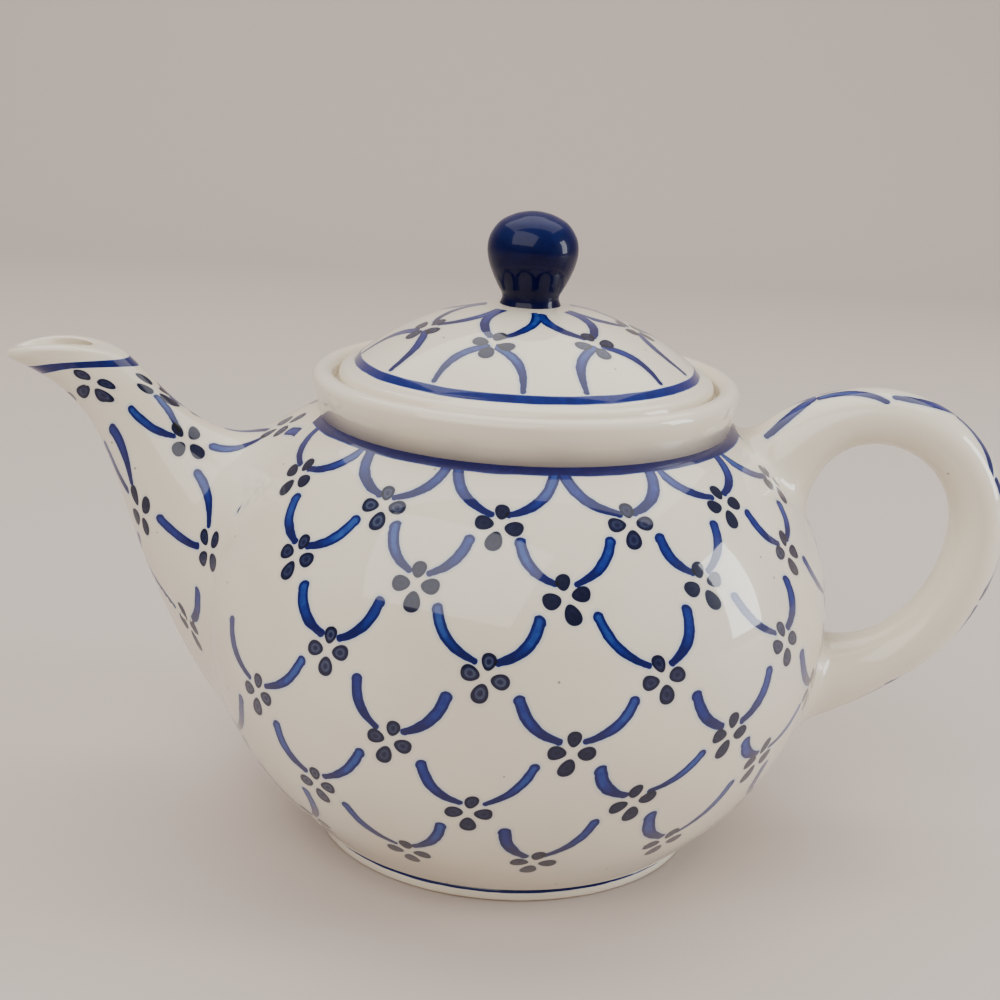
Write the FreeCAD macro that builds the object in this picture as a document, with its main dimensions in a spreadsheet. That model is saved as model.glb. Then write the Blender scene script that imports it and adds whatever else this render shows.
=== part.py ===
import FreeCAD, Part
import Sketcher
import math
import os

# A round-bellied stoneware teapot, in millimetres.
# +Z is up, the pot's axis is Z, the spout points along -X and the handle along +X.
# The origin is on the axis, on the plane that the foot ring stands on.

doc = FreeCAD.newDocument("Teapot")
sizes = doc.addObject("Spreadsheet::Sheet", "Sizes")

# Driving dimensions: each is set once here, and every piece reads it from the sheet.
driving = {
    # thrown shell
    "belly_radius": 76.0,
    "belly_height": 58.6,
    "shoulder_height": 105.0,
    "trim_radius": 57.4,
    "trim_rise": 8.7,
    "base_radius": 49.0,
    "wall": 5.0,
    "floor_depth": 5.5,
    "floor_radius": 46.0,
    "neck_land": 5.5,
    "neck_lip": 2.7,
    # foot ring
    "foot_height": 4.0,
    "foot_radius": 47.0,
    "foot_width": 6.0,
    "foot_lean": 0.8,
    "foot_edge": 0.8,
    # lid, its seat and the collar round it
    "lid_radius": 44.8,
    "lid_clearance": 1.0,
    "collar_wall": 5.2,
    "collar_flare": 1.8,
    "ledge_rise": 6.2,
    "collar_rise": 8.1,
    "rim_sink": 0.3,
    "lid_edge_rise": 2.8,
    "lid_edge_round": 1.4,
    "dome_radius": 41.0,
    "dome_base_rise": 6.0,
    "dome_top_rise": 20.8,
    "dome_centre_drop": 43.4,
    "lid_wall": 4.5,
    "seat_width": 8.6,
    "flange_clearance": 0.8,
    "flange_wall": 3.5,
    "flange_depth": 9.0,
    "flange_edge": 1.0,
    "vent_bore": 3.0,
    "vent_offset": 20.0,
    # knob
    "knob_foot": 7.4,
    "knob_neck": 6.9,
    "knob_neck_rise": 1.0,
    "knob_throat": 7.9,
    "knob_throat_rise": 3.6,
    "knob_radius": 10.75,
    "knob_belly_rise": 10.6,
    # spout: control points of its axis, outwards from the belly's side and upwards from the shoulder
    "spout_root_out": -15.8,
    "spout_root_rise": -36.5,
    "spout_bow_out": 22.6,
    "spout_bow_rise": -16.5,
    "spout_neck_out": 12.8,
    "spout_neck_rise": 5.5,
    "spout_tip_out": 49.9,
    "spout_tip_rise": 16.3,
    "spout_heel_out": -30.0,
    "spout_heel_rise": -47.0,
    # spout: the half thickness of the tube, its walls and the cut of its lip
    "spout_root_half": 39.7,
    "spout_tip_half": 8.2,
    "spout_taper": 4.0,
    "spout_oval": 0.3,
    "spout_pinch": 10.5,
    "spout_heel_half": 40.0,
    "spout_heel_tilt": 18.0,
    "spout_root_wall": 4.5,
    "spout_tip_wall": 2.9,
    "lip_beak_drop": 9.4,
    "lip_back_drop": 6.6,
    "lip_crown_in": 20.0,
    "lip_back_in": 34.0,
    "strainer_bore": 5.0,
    "strainer_ring": 11.0,
    "strainer_count": 6,
    "strainer_rise": -39.0,
    # handle: two tangent arcs, placed as the spout is, and an oval strap that flares at the roots
    "ear_out": 8.8,
    "ear_rise": -22.7,
    "ear_upper_radius": 26.6,
    "ear_lower_radius": 39.6,
    "strap_half": 6.7,
    "strap_spread": 1.7,
    "upper_root_half": 13.5,
    "upper_root_reach": 15.0,
    "lower_root_half": 18.3,
    "lower_root_drop": 8.0,
}

# Sizes that follow from the driving ones.
derived = {
    "collar_bore": "lid_radius + lid_clearance",
    "collar_radius": "collar_bore + collar_wall",
    "neck_radius": "collar_radius - collar_flare",
    "neck_bore": "neck_radius - neck_land",
    "trim_height": "foot_height + trim_rise",
    "floor_height": "foot_height + floor_depth",
    "inner_radius": "belly_radius - wall",
    "neck_inside": "shoulder_height - neck_lip",
    "foot_bore": "foot_radius - foot_width",
    "ledge_height": "shoulder_height + ledge_rise",
    "collar_edge": "shoulder_height + collar_rise",
    "flange_radius": "lid_radius - seat_width",
    "mouth_radius": "flange_radius + flange_clearance",
    "flange_bore": "flange_radius - flange_wall",
    "lid_edge": "ledge_height + lid_edge_rise",
    "lid_crest": "lid_edge + lid_edge_round",
    "dome_base": "ledge_height + dome_base_rise",
    "dome_top": "ledge_height + dome_top_rise",
    "dome_centre": "ledge_height - dome_centre_drop",
    "dome_inside": "dome_top - lid_wall",
    "knob_base": "dome_centre + sqrt((dome_top - dome_centre)^2 - knob_foot^2)",
    "knob_waist": "dome_top + knob_neck_rise",
    "knob_belly": "dome_top + knob_belly_rise",
    "knob_top": "knob_belly + knob_radius",
    "spout_root_x": "-belly_radius - spout_root_out",
    "spout_root_z": "shoulder_height + spout_root_rise",
    "spout_bow_x": "-belly_radius - spout_bow_out",
    "spout_bow_z": "shoulder_height + spout_bow_rise",
    "spout_neck_x": "-belly_radius - spout_neck_out",
    "spout_neck_z": "shoulder_height + spout_neck_rise",
    "spout_tip_x": "-belly_radius - spout_tip_out",
    "spout_tip_z": "shoulder_height + spout_tip_rise",
    "spout_heel_x": "-belly_radius - spout_heel_out",
    "spout_heel_z": "shoulder_height + spout_heel_rise",
    "strainer_height": "shoulder_height + strainer_rise",
    "ear_x": "belly_radius + ear_out",
    "ear_z": "shoulder_height + ear_rise",
    "lip_beak_z": "spout_tip_z - lip_beak_drop",
    "lip_back_z": "spout_tip_z - lip_back_drop",
    "lip_crown_x": "spout_tip_x + lip_crown_in",
    "lip_back_x": "spout_tip_x + lip_back_in",
}

for row, (alias, number) in enumerate(driving.items(), start=1):
    sizes.set("A%d" % row, alias)
    sizes.set("B%d" % row, repr(number))
    sizes.setAlias("B%d" % row, alias)
doc.recompute()
for row, (alias, formula) in enumerate(derived.items(), start=1):
    sizes.set("D%d" % row, alias)
    sizes.set("E%d" % row, "=" + formula)
    sizes.setAlias("E%d" % row, alias)
    doc.recompute()

names = set(driving) | set(derived)


def bound(formula):
    """The formula with each size read from the sheet."""
    words = []
    word = ""
    for letter in formula + " ":
        if letter.isalnum() or letter == "_":
            word += letter
            continue
        words.append("Sizes." + word if word in names else word)
        words.append(letter)
        word = ""
    return "".join(words).strip()


def value(formula):
    """The formula's present value as a plain number."""
    found = sizes.evalExpression(formula)
    return float(getattr(found, "Value", found))


def new_body(name):
    body = doc.addObject("PartDesign::Body", name)
    body.Label = name
    return body


def plane(body, role):
    return next(item for item in body.Origin.OriginFeatures if item.Role == role)


def new_sketch(body, name, role):
    sketch = body.newObject("Sketcher::SketchObject", name)
    sketch.AttachmentSupport = [(plane(body, role), "")]
    sketch.MapMode = "FlatFace"
    return sketch


def drive(sketch, name, constraint, formula):
    """Add a dimension to the sketch and tie it to a formula of the sheet's sizes."""
    index = sketch.addConstraint(constraint)
    sketch.renameConstraint(index, name)
    sketch.setExpression("Constraints." + name, bound(formula))


def arc_centre(start, end, level, across):
    """Centre of the arc through two points, given its height (or, across, its distance from the axis)."""
    first, second = (1, 0) if across else (0, 1)
    fixed = start[first] ** 2 - end[first] ** 2
    fixed += (start[second] - level) ** 2 - (end[second] - level) ** 2
    free = fixed / (2 * (start[first] - end[first]))
    return (level, free) if across else (free, level)


def outline(body, name, corners, role="XZ_Plane"):
    """Closed outline in the half plane right of the axis.

    A corner is (radius, height) or (radius, height, bend): bend is the formula of the height of
    the centre of the arc that leaves the corner, or ("across", formula) for its distance from the axis.
    """
    sketch = new_sketch(body, name, role)
    places = [(value(corner[0]), value(corner[1])) for corner in corners]
    ends = []
    for index, corner in enumerate(corners):
        start = places[index]
        end = places[(index + 1) % len(places)]
        if len(corner) == 2:
            line = Part.LineSegment(FreeCAD.Vector(*start, 0), FreeCAD.Vector(*end, 0))
            ends.append((sketch.addGeometry(line, False), 1, 2))
            continue
        across = isinstance(corner[2], tuple)
        formula = corner[2][1] if across else corner[2]
        centre = arc_centre(start, end, value(formula), across)
        first = math.atan2(start[1] - centre[1], start[0] - centre[0])
        last = math.atan2(end[1] - centre[1], end[0] - centre[0])
        forward = (last - first) % (2 * math.pi) < math.pi
        circle = Part.Circle(FreeCAD.Vector(*centre, 0), FreeCAD.Vector(0, 0, 1), math.dist(start, centre))
        span = (first, last) if forward else (last, first)
        edge = sketch.addGeometry(Part.ArcOfCircle(circle, *span), False)
        ends.append((edge, 1, 2) if forward else (edge, 2, 1))
        kind = "DistanceX" if across else "DistanceY"
        drive(sketch, "bend%d" % index, Sketcher.Constraint(kind, -1, 1, edge, 3, value(formula)), formula)
    for index, corner in enumerate(corners):
        before = ends[index - 1]
        here = ends[index]
        sketch.addConstraint(Sketcher.Constraint("Coincident", before[0], before[2], here[0], here[1]))
        for kind, letter, formula in (("DistanceX", "r", corner[0]), ("DistanceY", "z", corner[1])):
            place = Sketcher.Constraint(kind, -1, 1, here[0], here[1], value(formula))
            drive(sketch, "%s%d" % (letter, index), place, formula)
    return sketch


def turn(body, kind, name, sketch):
    """Revolve the outline about the pot's axis, adding or cutting."""
    feature = body.newObject("PartDesign::" + kind, name)
    feature.Profile = sketch
    feature.ReferenceAxis = (sketch, ["V_Axis"])
    feature.Angle = 360.0
    doc.recompute()
    return feature


def round_sketch(body, name, role, across, up, radius, lift):
    """A circle in a sketch: its centre and radius by formulas, and the sketch's own shift along one axis."""
    sketch = new_sketch(body, name, role)
    sketch.setExpression("AttachmentOffset.Base." + lift[0], bound(lift[1]))
    centre = FreeCAD.Vector(value(across), value(up), 0)
    edge = sketch.addGeometry(Part.Circle(centre, FreeCAD.Vector(0, 0, 1), value(radius)), False)
    drive(sketch, "radius", Sketcher.Constraint("Radius", edge, value(radius)), radius)
    for label, kind, formula, axis in (("across", "DistanceX", across, -2), ("up", "DistanceY", up, -1)):
        if formula == "0":
            sketch.addConstraint(Sketcher.Constraint("PointOnObject", edge, 3, axis))
        else:
            drive(sketch, label, Sketcher.Constraint(kind, -1, 1, edge, 3, value(formula)), formula)
    return sketch


def tilt_section(sketch, across, up, tilt):
    """Stand a section across a path in the XZ plane: its centre and its turn about Y."""
    sketch.AttachmentOffset = FreeCAD.Placement(
        FreeCAD.Vector(), FreeCAD.Rotation(FreeCAD.Vector(0, 1, 0), 1.0)
    )
    sketch.setExpression("AttachmentOffset.Base.x", bound(across))
    sketch.setExpression("AttachmentOffset.Base.z", bound(up))
    sketch.setExpression("AttachmentOffset.Rotation.Angle", bound(tilt))


def loft(body, kind, name, sections):
    feature = body.newObject("PartDesign::" + kind, name)
    feature.Profile = sections[0]
    feature.Sections = [(section, [""]) for section in sections[1:]]
    feature.Ruled = False
    doc.recompute()
    return feature


def cut_check(before, feature):
    """A cut that misses the solid shows no error, so the volume has to fall."""
    if feature.Shape.Volume >= before - 1.0:
        raise RuntimeError(feature.Name + " cuts nothing")


# Outside of the thrown shell: straight trimmed flank, then one arc below the belly and one above.
# Both arcs have their centres at the belly's height, so they meet there without a corner.
shell_outside = [
    ("0", "foot_height"),
    ("base_radius", "foot_height"),
    ("trim_radius", "trim_height", "belly_height"),
    ("belly_radius", "belly_height", "belly_height"),
    ("neck_radius", "shoulder_height"),
]

# What is luted onto the outside is cut to this form, carried up past the neck.
seat_outside = shell_outside + [("neck_radius", "collar_edge"), ("0", "collar_edge")]

# Pot body: the hollow shell, open at the neck, with a flat floor.
pot_body = new_body("pot_body")
shell = outline(
    pot_body,
    "ShellOutline",
    shell_outside
    + [
        ("neck_bore", "shoulder_height"),
        ("neck_bore", "neck_inside", "belly_height"),
        ("inner_radius", "belly_height", "belly_height"),
        ("floor_radius", "floor_height"),
        ("0", "floor_height"),
    ],
)
turn(pot_body, "Revolution", "Shell", shell)

# Strainer: a round of holes pierced through the wall where the spout will cover them.
volume = pot_body.Shape.Volume
height = ("y", "strainer_height")
middle = round_sketch(pot_body, "StrainerMiddle", "YZ_Plane", "0", "0", "strainer_bore / 2", height)
middle_hole = pot_body.newObject("PartDesign::Pocket", "StrainerHole")
middle_hole.Profile = middle
middle_hole.setExpression("Length", bound("belly_radius + wall"))
doc.recompute()
cut_check(volume, middle_hole)
volume = middle_hole.Shape.Volume
ring = round_sketch(
    pot_body, "StrainerRing", "YZ_Plane", "strainer_ring", "0", "strainer_bore / 2", height
)
ring_hole = pot_body.newObject("PartDesign::Pocket", "StrainerRingHole")
ring_hole.Profile = ring
ring_hole.setExpression("Length", bound("belly_radius + wall"))
doc.recompute()
cut_check(volume, ring_hole)
ring_holes = pot_body.newObject("PartDesign::PolarPattern", "StrainerHoles")
ring_holes.Originals = [ring_hole]
ring_holes.Axis = (ring, ["N_Axis"])
ring_holes.Angle = 360.0
ring_holes.setExpression("Occurrences", bound("strainer_count"))
pot_body.Tip = ring_holes
doc.recompute()

# Foot ring: leans in a little towards the ground, with eased edges and a flat sole.
foot_ring = new_body("foot_ring")
foot = outline(
    foot_ring,
    "FootOutline",
    [
        ("foot_bore", "foot_height"),
        ("foot_bore", "foot_edge"),
        ("foot_bore + foot_edge", "0"),
        ("foot_radius - foot_edge", "0"),
        ("foot_radius", "foot_edge"),
        ("foot_radius + foot_lean", "foot_height"),
    ],
)
turn(foot_ring, "Revolution", "Foot", foot)

# Collar: flares slightly outwards to a rounded rim, with the lid's ledge inside.
collar_ring = new_body("collar_ring")
collar = outline(
    collar_ring,
    "CollarOutline",
    [
        ("mouth_radius", "shoulder_height"),
        ("neck_radius", "shoulder_height"),
        ("collar_radius", "collar_edge", "collar_edge - rim_sink"),
        ("collar_bore", "collar_edge"),
        ("collar_bore", "ledge_height"),
        ("mouth_radius", "ledge_height"),
    ],
)
turn(collar_ring, "Revolution", "Collar", collar)

# Lid: a shallow dome with a flat seat, a rounded bare rim and a steam vent at the back.
lid = new_body("lid")
lid_outline = outline(
    lid,
    "LidOutline",
    [
        ("flange_bore", "ledge_height"),
        ("lid_radius", "ledge_height"),
        ("lid_radius", "lid_edge", "lid_edge"),
        ("lid_radius - lid_edge_round", "lid_crest"),
        ("dome_radius", "dome_base", ("across", "0")),
        ("0", "dome_top"),
        ("0", "dome_inside", ("across", "0")),
        ("flange_bore", "dome_base - lid_wall / 2"),
    ],
)
turn(lid, "Revolution", "Dome", lid_outline)
volume = lid.Shape.Volume
crown = ("z", "dome_top")
vent = round_sketch(lid, "VentOutline", "XY_Plane", "0", "vent_offset", "vent_bore / 2", crown)
vent_hole = lid.newObject("PartDesign::Pocket", "Vent")
vent_hole.Profile = vent
vent_hole.Type = "ThroughAll"
doc.recompute()
cut_check(volume, vent_hole)

# Lid flange: the ring that drops through the ledge and keeps the lid from sliding off.
lid_flange = new_body("lid_flange")
flange = outline(
    lid_flange,
    "FlangeOutline",
    [
        ("flange_bore", "ledge_height - flange_depth"),
        ("flange_radius - flange_edge", "ledge_height - flange_depth"),
        ("flange_radius", "ledge_height - flange_depth + flange_edge"),
        ("flange_radius", "ledge_height"),
        ("flange_bore", "ledge_height"),
    ],
)
turn(lid_flange, "Revolution", "Flange", flange)

# Knob: a round head drawn in to a short neck, seated on the dome.
knob = new_body("knob")
knob_outline = outline(
    knob,
    "KnobOutline",
    [
        ("0", "dome_top", ("across", "0")),
        ("knob_foot", "knob_base"),
        ("knob_neck", "knob_waist"),
        ("knob_throat", "dome_top + knob_throat_rise", "knob_belly"),
        ("knob_radius", "knob_belly", "knob_belly"),
        ("0", "knob_top"),
    ],
)
turn(knob, "Revolution", "Head", knob_outline)


def oval(section, name, tall, wide, upright):
    """An oval round the sketch's origin, by the formulas of its longer and shorter half sizes."""
    ends = [FreeCAD.Vector(value(tall), 0, 0), FreeCAD.Vector(0, value(wide), 0)]
    if upright:
        ends = [FreeCAD.Vector(0, value(tall), 0), FreeCAD.Vector(value(wide), 0, 0)]
    edge = section.addGeometry(Part.Ellipse(*ends, FreeCAD.Vector()), False)
    section.exposeInternalGeometry(edge)
    section.addConstraint(Sketcher.Constraint("Coincident", edge, 3, -1, 1))
    section.addConstraint(Sketcher.Constraint("Vertical" if upright else "Horizontal", edge + 1))
    for line, ending, formula in ((edge + 1, "_long", tall), (edge + 2, "_short", wide)):
        span = Sketcher.Constraint("Distance", line, 2 * value(formula))
        drive(section, name + ending, span, "2 * (%s)" % formula)


def spout_ring(name, across, up, tilt, half, side, share):
    """One ring across the spout: the outside and, a wall's thickness within it, the bore."""
    section = new_sketch(spout, name, "XY_Plane")
    wall = " - spout_root_wall - %.6f * (spout_tip_wall - spout_root_wall)" % share
    oval(section, "outside", half, side, False)
    oval(section, "bore", half + wall, side + wall, False)
    tilt_section(section, across, up, tilt)
    return section


def spout_at(share):
    """Formulas of the spout at a share of its length: its axis' place and tilt, half height and half width."""
    rest = 1 - share
    weights = (rest**3, 3 * rest**2 * share, 3 * rest * share**2, share**3)
    slopes = (-(rest**2), rest**2 - 2 * rest * share, 2 * rest * share - share**2, share**2)
    points = ("root", "bow", "neck", "tip")
    across = " + ".join("%.6f * spout_%s_x" % pair for pair in zip(weights, points))
    up = " + ".join("%.6f * spout_%s_z" % pair for pair in zip(weights, points))
    run = " + ".join("%.6f * spout_%s_x" % pair for pair in zip(slopes, points))
    rise = " + ".join("%.6f * spout_%s_z" % pair for pair in zip(slopes, points))
    half = "spout_tip_half + (spout_root_half - spout_tip_half) * %.6f ^ spout_taper" % rest
    side = half + " - spout_oval - spout_pinch * %.6f ^ spout_taper" % rest
    return across, up, "atan2(%s; %s)" % (run, rise), half, side


# Spout: a tapering tube bent into an S, cut to fit the belly and cut open at the lip.
# Its rings stand at these shares of its length, closer together where it narrows fast.
ring_shares = (0.0, 0.12, 0.25, 0.4, 0.6, 0.8, 1.0)
spout = new_body("spout")
heel_side = "spout_heel_half - spout_oval - spout_pinch"
heel = ("spout_heel_x", "spout_heel_z", "spout_heel_tilt - 90", "spout_heel_half", heel_side)
rings = [spout_ring("SpoutHeel", *heel, 0)]
for index, share in enumerate(ring_shares):
    rings.append(spout_ring("SpoutRing%d" % index, *spout_at(share), share))
tube = loft(spout, "AdditiveLoft", "SpoutTube", rings)
belly_cut = turn(spout, "Groove", "SpoutSeat", outline(spout, "SpoutSeatOutline", seat_outside))
cut_check(tube.Shape.Volume, belly_cut)

# The lip is one sweeping cut from the drooping beak over the crown to the back of the mouth.
lip_cut = spout.newObject("PartDesign::Pocket", "LipCut")
lip_cut.Profile = outline(
    spout,
    "LipOutline",
    [
        ("spout_tip_x - spout_tip_half", "lip_beak_z", ("across", "lip_crown_x")),
        ("lip_back_x", "lip_back_z"),
        ("lip_back_x", "spout_tip_z + spout_root_half"),
        ("spout_tip_x - spout_tip_half", "spout_tip_z + spout_root_half"),
    ],
)
lip_cut.Midplane = True
lip_cut.setExpression("Length", bound("4 * spout_root_half"))
doc.recompute()
cut_check(belly_cut.Shape.Volume, lip_cut)

# Handle: an oval strap along two arcs, flared where it meets the belly.
# Each station is an angle on its arc, in degrees, and the share of the root's flare that the strap has there.
upper_stations = ((140, 0.42), (116, 0.08), (90, 0.0), (60, 0.0), (30, 0.0), (0, 0.0))
lower_stations = ((25, 0.0), (50, 0.0), (72, 0.12), (90, 0.5), (106, 1.0))
handle = new_body("handle")


def strap_section(name, across, up, tilt, root, flare):
    """An oval across the strap: thickness in the plane of the ear, a little wider than thick."""
    section = new_sketch(handle, name, "XY_Plane")
    half = "strap_half + (%s - strap_half) * %.4f" % (root, flare)
    wide = half + " + strap_spread"
    oval(section, "strap", wide, half, True)
    tilt_section(section, across, up, tilt)
    return section


straps = []
for angle, flare in upper_stations:
    across = "ear_x + ear_upper_radius * cos(%d deg)" % angle
    up = "ear_z + ear_upper_radius * sin(%d deg)" % angle
    if not straps:
        inward = across + " - upper_root_reach * sin(%d deg)" % angle
        down = up + " + upper_root_reach * cos(%d deg)" % angle
        straps.append(strap_section("UpperRoot", inward, down, "-%d" % angle, "upper_root_half", 1.0))
    name = "UpperStrap%d" % angle
    straps.append(strap_section(name, across, up, "-%d" % angle, "upper_root_half", flare))
for angle, flare in lower_stations:
    across = "ear_x + ear_upper_radius - ear_lower_radius + ear_lower_radius * cos(%d deg)" % angle
    up = "ear_z - ear_lower_radius * sin(%d deg) - lower_root_drop * %.4f" % (angle, flare)
    name = "LowerStrap%d" % angle
    straps.append(strap_section(name, across, up, "%d" % angle, "lower_root_half", flare))
ear = loft(handle, "AdditiveLoft", "Ear", straps)
volume = ear.Shape.Volume
ear_cut = turn(handle, "Groove", "EarSeat", outline(handle, "EarSeatOutline", seat_outside))
cut_check(volume, ear_cut)

pieces = (pot_body, foot_ring, collar_ring, spout, handle, lid, lid_flange, knob)

doc.recompute()
for item in doc.Objects:
    if "Invalid" in item.State or "Error" in item.State:
        raise RuntimeError(item.Name + " did not build")
for piece in pieces:
    if piece.Shape.isNull() or not piece.Shape.isValid():
        raise RuntimeError(piece.Label + " has no valid shape")

os.makedirs("parts", exist_ok=True)
for piece in pieces:
    piece.Shape.exportStep("parts/%s.step" % piece.Label)
    print(piece.Label, len(piece.Shape.Solids), round(piece.Shape.Volume, 1))
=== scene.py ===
import math
import bpy
import numpy as np
from mathutils import Matrix, Vector


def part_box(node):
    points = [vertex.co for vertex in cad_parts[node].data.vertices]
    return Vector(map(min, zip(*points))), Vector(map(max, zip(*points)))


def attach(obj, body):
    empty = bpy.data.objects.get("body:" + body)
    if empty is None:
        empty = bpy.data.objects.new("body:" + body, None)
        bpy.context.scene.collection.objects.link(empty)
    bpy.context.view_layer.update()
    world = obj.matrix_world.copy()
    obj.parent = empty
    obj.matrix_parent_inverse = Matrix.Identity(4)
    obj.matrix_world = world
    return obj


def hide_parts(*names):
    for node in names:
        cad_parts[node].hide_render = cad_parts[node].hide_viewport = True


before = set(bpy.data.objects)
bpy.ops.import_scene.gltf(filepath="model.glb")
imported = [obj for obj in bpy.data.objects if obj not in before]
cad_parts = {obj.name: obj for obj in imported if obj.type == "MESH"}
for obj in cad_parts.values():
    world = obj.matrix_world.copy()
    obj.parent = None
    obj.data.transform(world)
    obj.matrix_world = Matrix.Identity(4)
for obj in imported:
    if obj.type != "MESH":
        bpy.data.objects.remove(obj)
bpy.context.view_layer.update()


# Pot body
# The round shell is thrown on the wheel in pale stoneware and trimmed to a flat base.
# It is glazed cream and painted by hand with a trellis of four-petalled blossoms and brush strokes.
MM = 0.001
body_low, body_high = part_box("pot_body")
belly_radius = body_high.x
shoulder_height = body_high.z
base_height = body_low.z
belly_height = 58.6 * MM
trim_radius = 57.4 * MM
trim_height = 12.7 * MM
base_radius = 49.0 * MM
floor_radius = 46.0 * MM
floor_height = 9.5 * MM
neck_radius = 49.2 * MM
neck_bore = 44.2 * MM
wall = 5.0 * MM
base_edge = 0.8 * MM
floor_curve = 9.0 * MM
wheel_steps = 256
seam_gap = 0.001 * MM
outside_steps = 90
inside_steps = 60


def bow_centre(radius, height):
    """Radius of the centre of a belly arc that leaves the belly line upright and ends at a point."""
    rise = height - belly_height
    return (belly_radius ** 2 - radius ** 2 - rise ** 2) / (2 * (belly_radius - radius))


upper_centre = bow_centre(neck_radius, shoulder_height)
lower_centre = bow_centre(trim_radius, trim_height)


def flank_radius(height):
    """Outside radius of the shell at a height, as an array."""
    height = np.asarray(height, float)
    centre = np.where(height > belly_height, upper_centre, lower_centre)
    bow = centre + np.sqrt(np.maximum((belly_radius - centre) ** 2 - (height - belly_height) ** 2, 0))
    slope = (trim_radius - base_radius) / (trim_height - base_height)
    trimmed = base_radius + (height - base_height) * slope
    return np.where(height > trim_height, bow, trimmed)


def flank(low, high, inset, steps):
    """Points up the shell between two heights, set in by a wall."""
    heights = np.linspace(low, high, steps)
    centre = np.where(heights > belly_height, upper_centre, lower_centre)
    radii = flank_radius(heights)
    turn = np.arctan2(heights - belly_height, radii - centre)
    return [(r - inset * math.cos(a), z - inset * math.sin(a), 0) for r, z, a in zip(radii, heights, turn)]


def eased(corners, steps=6):
    """An outline whose corners are rounded, from (radius, height, rounding) points."""
    outline = []
    last = len(corners) - 1
    for place, (radius, height, rounding) in enumerate(corners):
        corner = np.array((radius, height))
        if rounding == 0 or place in (0, last):
            outline.append(corner)
            continue
        before = np.array(corners[place - 1][:2]) - corner
        after = np.array(corners[place + 1][:2]) - corner
        start = corner + before * min(rounding / np.linalg.norm(before), 0.5)
        end = corner + after * min(rounding / np.linalg.norm(after), 0.5)
        for share in np.linspace(0, 1, steps):
            outline.append(start * (1 - share) ** 2 + 2 * corner * share * (1 - share) + end * share ** 2)
    return outline


def plug(tree, socket, term):
    """Joins a wire to a socket, or sets the socket to a plain value."""
    term = getattr(term, "source", term)
    if isinstance(term, bpy.types.NodeSocket):
        tree.links.new(term, socket)
    else:
        socket.default_value = term


def wheel_node(tree, kind, settings, terms):
    """Adds one node to the potter's wheel with its settings and inputs."""
    node = tree.nodes.new(kind)
    for setting, value in settings.items():
        setattr(node, setting, value)
    for socket, term in terms.items():
        plug(tree, node.inputs[socket], term)
    return node


def potters_wheel():
    """A tree that turns an outline, drawn in radius and height, into a closed solid of revolution."""
    tree = bpy.data.node_groups.new("potters_wheel", "GeometryNodeTree")
    tree.interface.new_socket("Outline", in_out="INPUT", socket_type="NodeSocketGeometry")
    tree.interface.new_socket("Steps round", in_out="INPUT", socket_type="NodeSocketInt")
    tree.interface.new_socket("Clay", in_out="INPUT", socket_type="NodeSocketMaterial")
    tree.interface.new_socket("Thrown piece", in_out="OUTPUT", socket_type="NodeSocketGeometry")
    given = tree.nodes.new("NodeGroupInput").outputs
    result = tree.nodes.new("NodeGroupOutput").inputs

    def reckon(operation, first, second=0.0):
        node = wheel_node(tree, "ShaderNodeMath", {"operation": operation}, {0: first, 1: second})
        return node.outputs[0]

    size = wheel_node(tree, "GeometryNodeAttributeDomainSize", {"component": "CURVE"},
                      {0: given["Outline"]})
    points = size.outputs["Point Count"]
    rounds = reckon("ADD", given["Steps round"], 1.0)
    sheet = wheel_node(tree, "GeometryNodeMeshGrid", {}, {"Vertices X": rounds, "Vertices Y": points})
    index = tree.nodes.new("GeometryNodeInputIndex").outputs[0]
    turn_share = reckon("DIVIDE", reckon("FLOOR", reckon("DIVIDE", index, points)), given["Steps round"])
    angle = reckon("MULTIPLY", turn_share, 2 * math.pi)
    step = reckon("MODULO", index, points)
    place = tree.nodes.new("GeometryNodeInputPosition").outputs[0]
    sample = wheel_node(tree, "GeometryNodeSampleIndex", {"data_type": "FLOAT_VECTOR"},
                        {"Geometry": given["Outline"], "Value": place, "Index": step})
    split = wheel_node(tree, "ShaderNodeSeparateXYZ", {}, {0: sample.outputs[0]}).outputs
    across = reckon("MULTIPLY", split["X"], reckon("SINE", angle))
    towards = reckon("MULTIPLY", split["X"], reckon("COSINE", angle))
    turned = wheel_node(tree, "ShaderNodeCombineXYZ", {}, {0: across, 1: towards, 2: split["Z"]})
    moved = wheel_node(tree, "GeometryNodeSetPosition", {},
                       {"Geometry": sheet.outputs[0], "Position": turned.outputs[0]})
    closed = wheel_node(tree, "GeometryNodeMergeByDistance", {},
                        {"Geometry": moved.outputs[0], "Distance": seam_gap})
    smooth = wheel_node(tree, "GeometryNodeSetShadeSmooth", {}, {"Geometry": closed.outputs[0]})
    solid = wheel_node(tree, "GeometryNodeRealizeInstances", {}, {"Geometry": smooth.outputs[0]})
    dressed = wheel_node(tree, "GeometryNodeSetMaterial", {},
                         {"Geometry": solid.outputs[0], "Material": given["Clay"]})
    plug(tree, result["Thrown piece"], dressed.outputs[0])
    return tree


wheel = potters_wheel()


def facing_out(mesh):
    """Turns the faces of a closed mesh outward."""
    mesh.calc_loop_triangles()
    corners = np.zeros(len(mesh.vertices) * 3)
    mesh.vertices.foreach_get("co", corners)
    triangles = np.zeros(len(mesh.loop_triangles) * 3, int)
    mesh.loop_triangles.foreach_get("vertices", triangles)
    first, second, third = corners.reshape(-1, 3)[triangles.reshape(-1, 3)].transpose(1, 0, 2)
    if np.einsum("ij,ij->i", first, np.cross(second, third)).sum() < 0:
        mesh.flip_normals()


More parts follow.
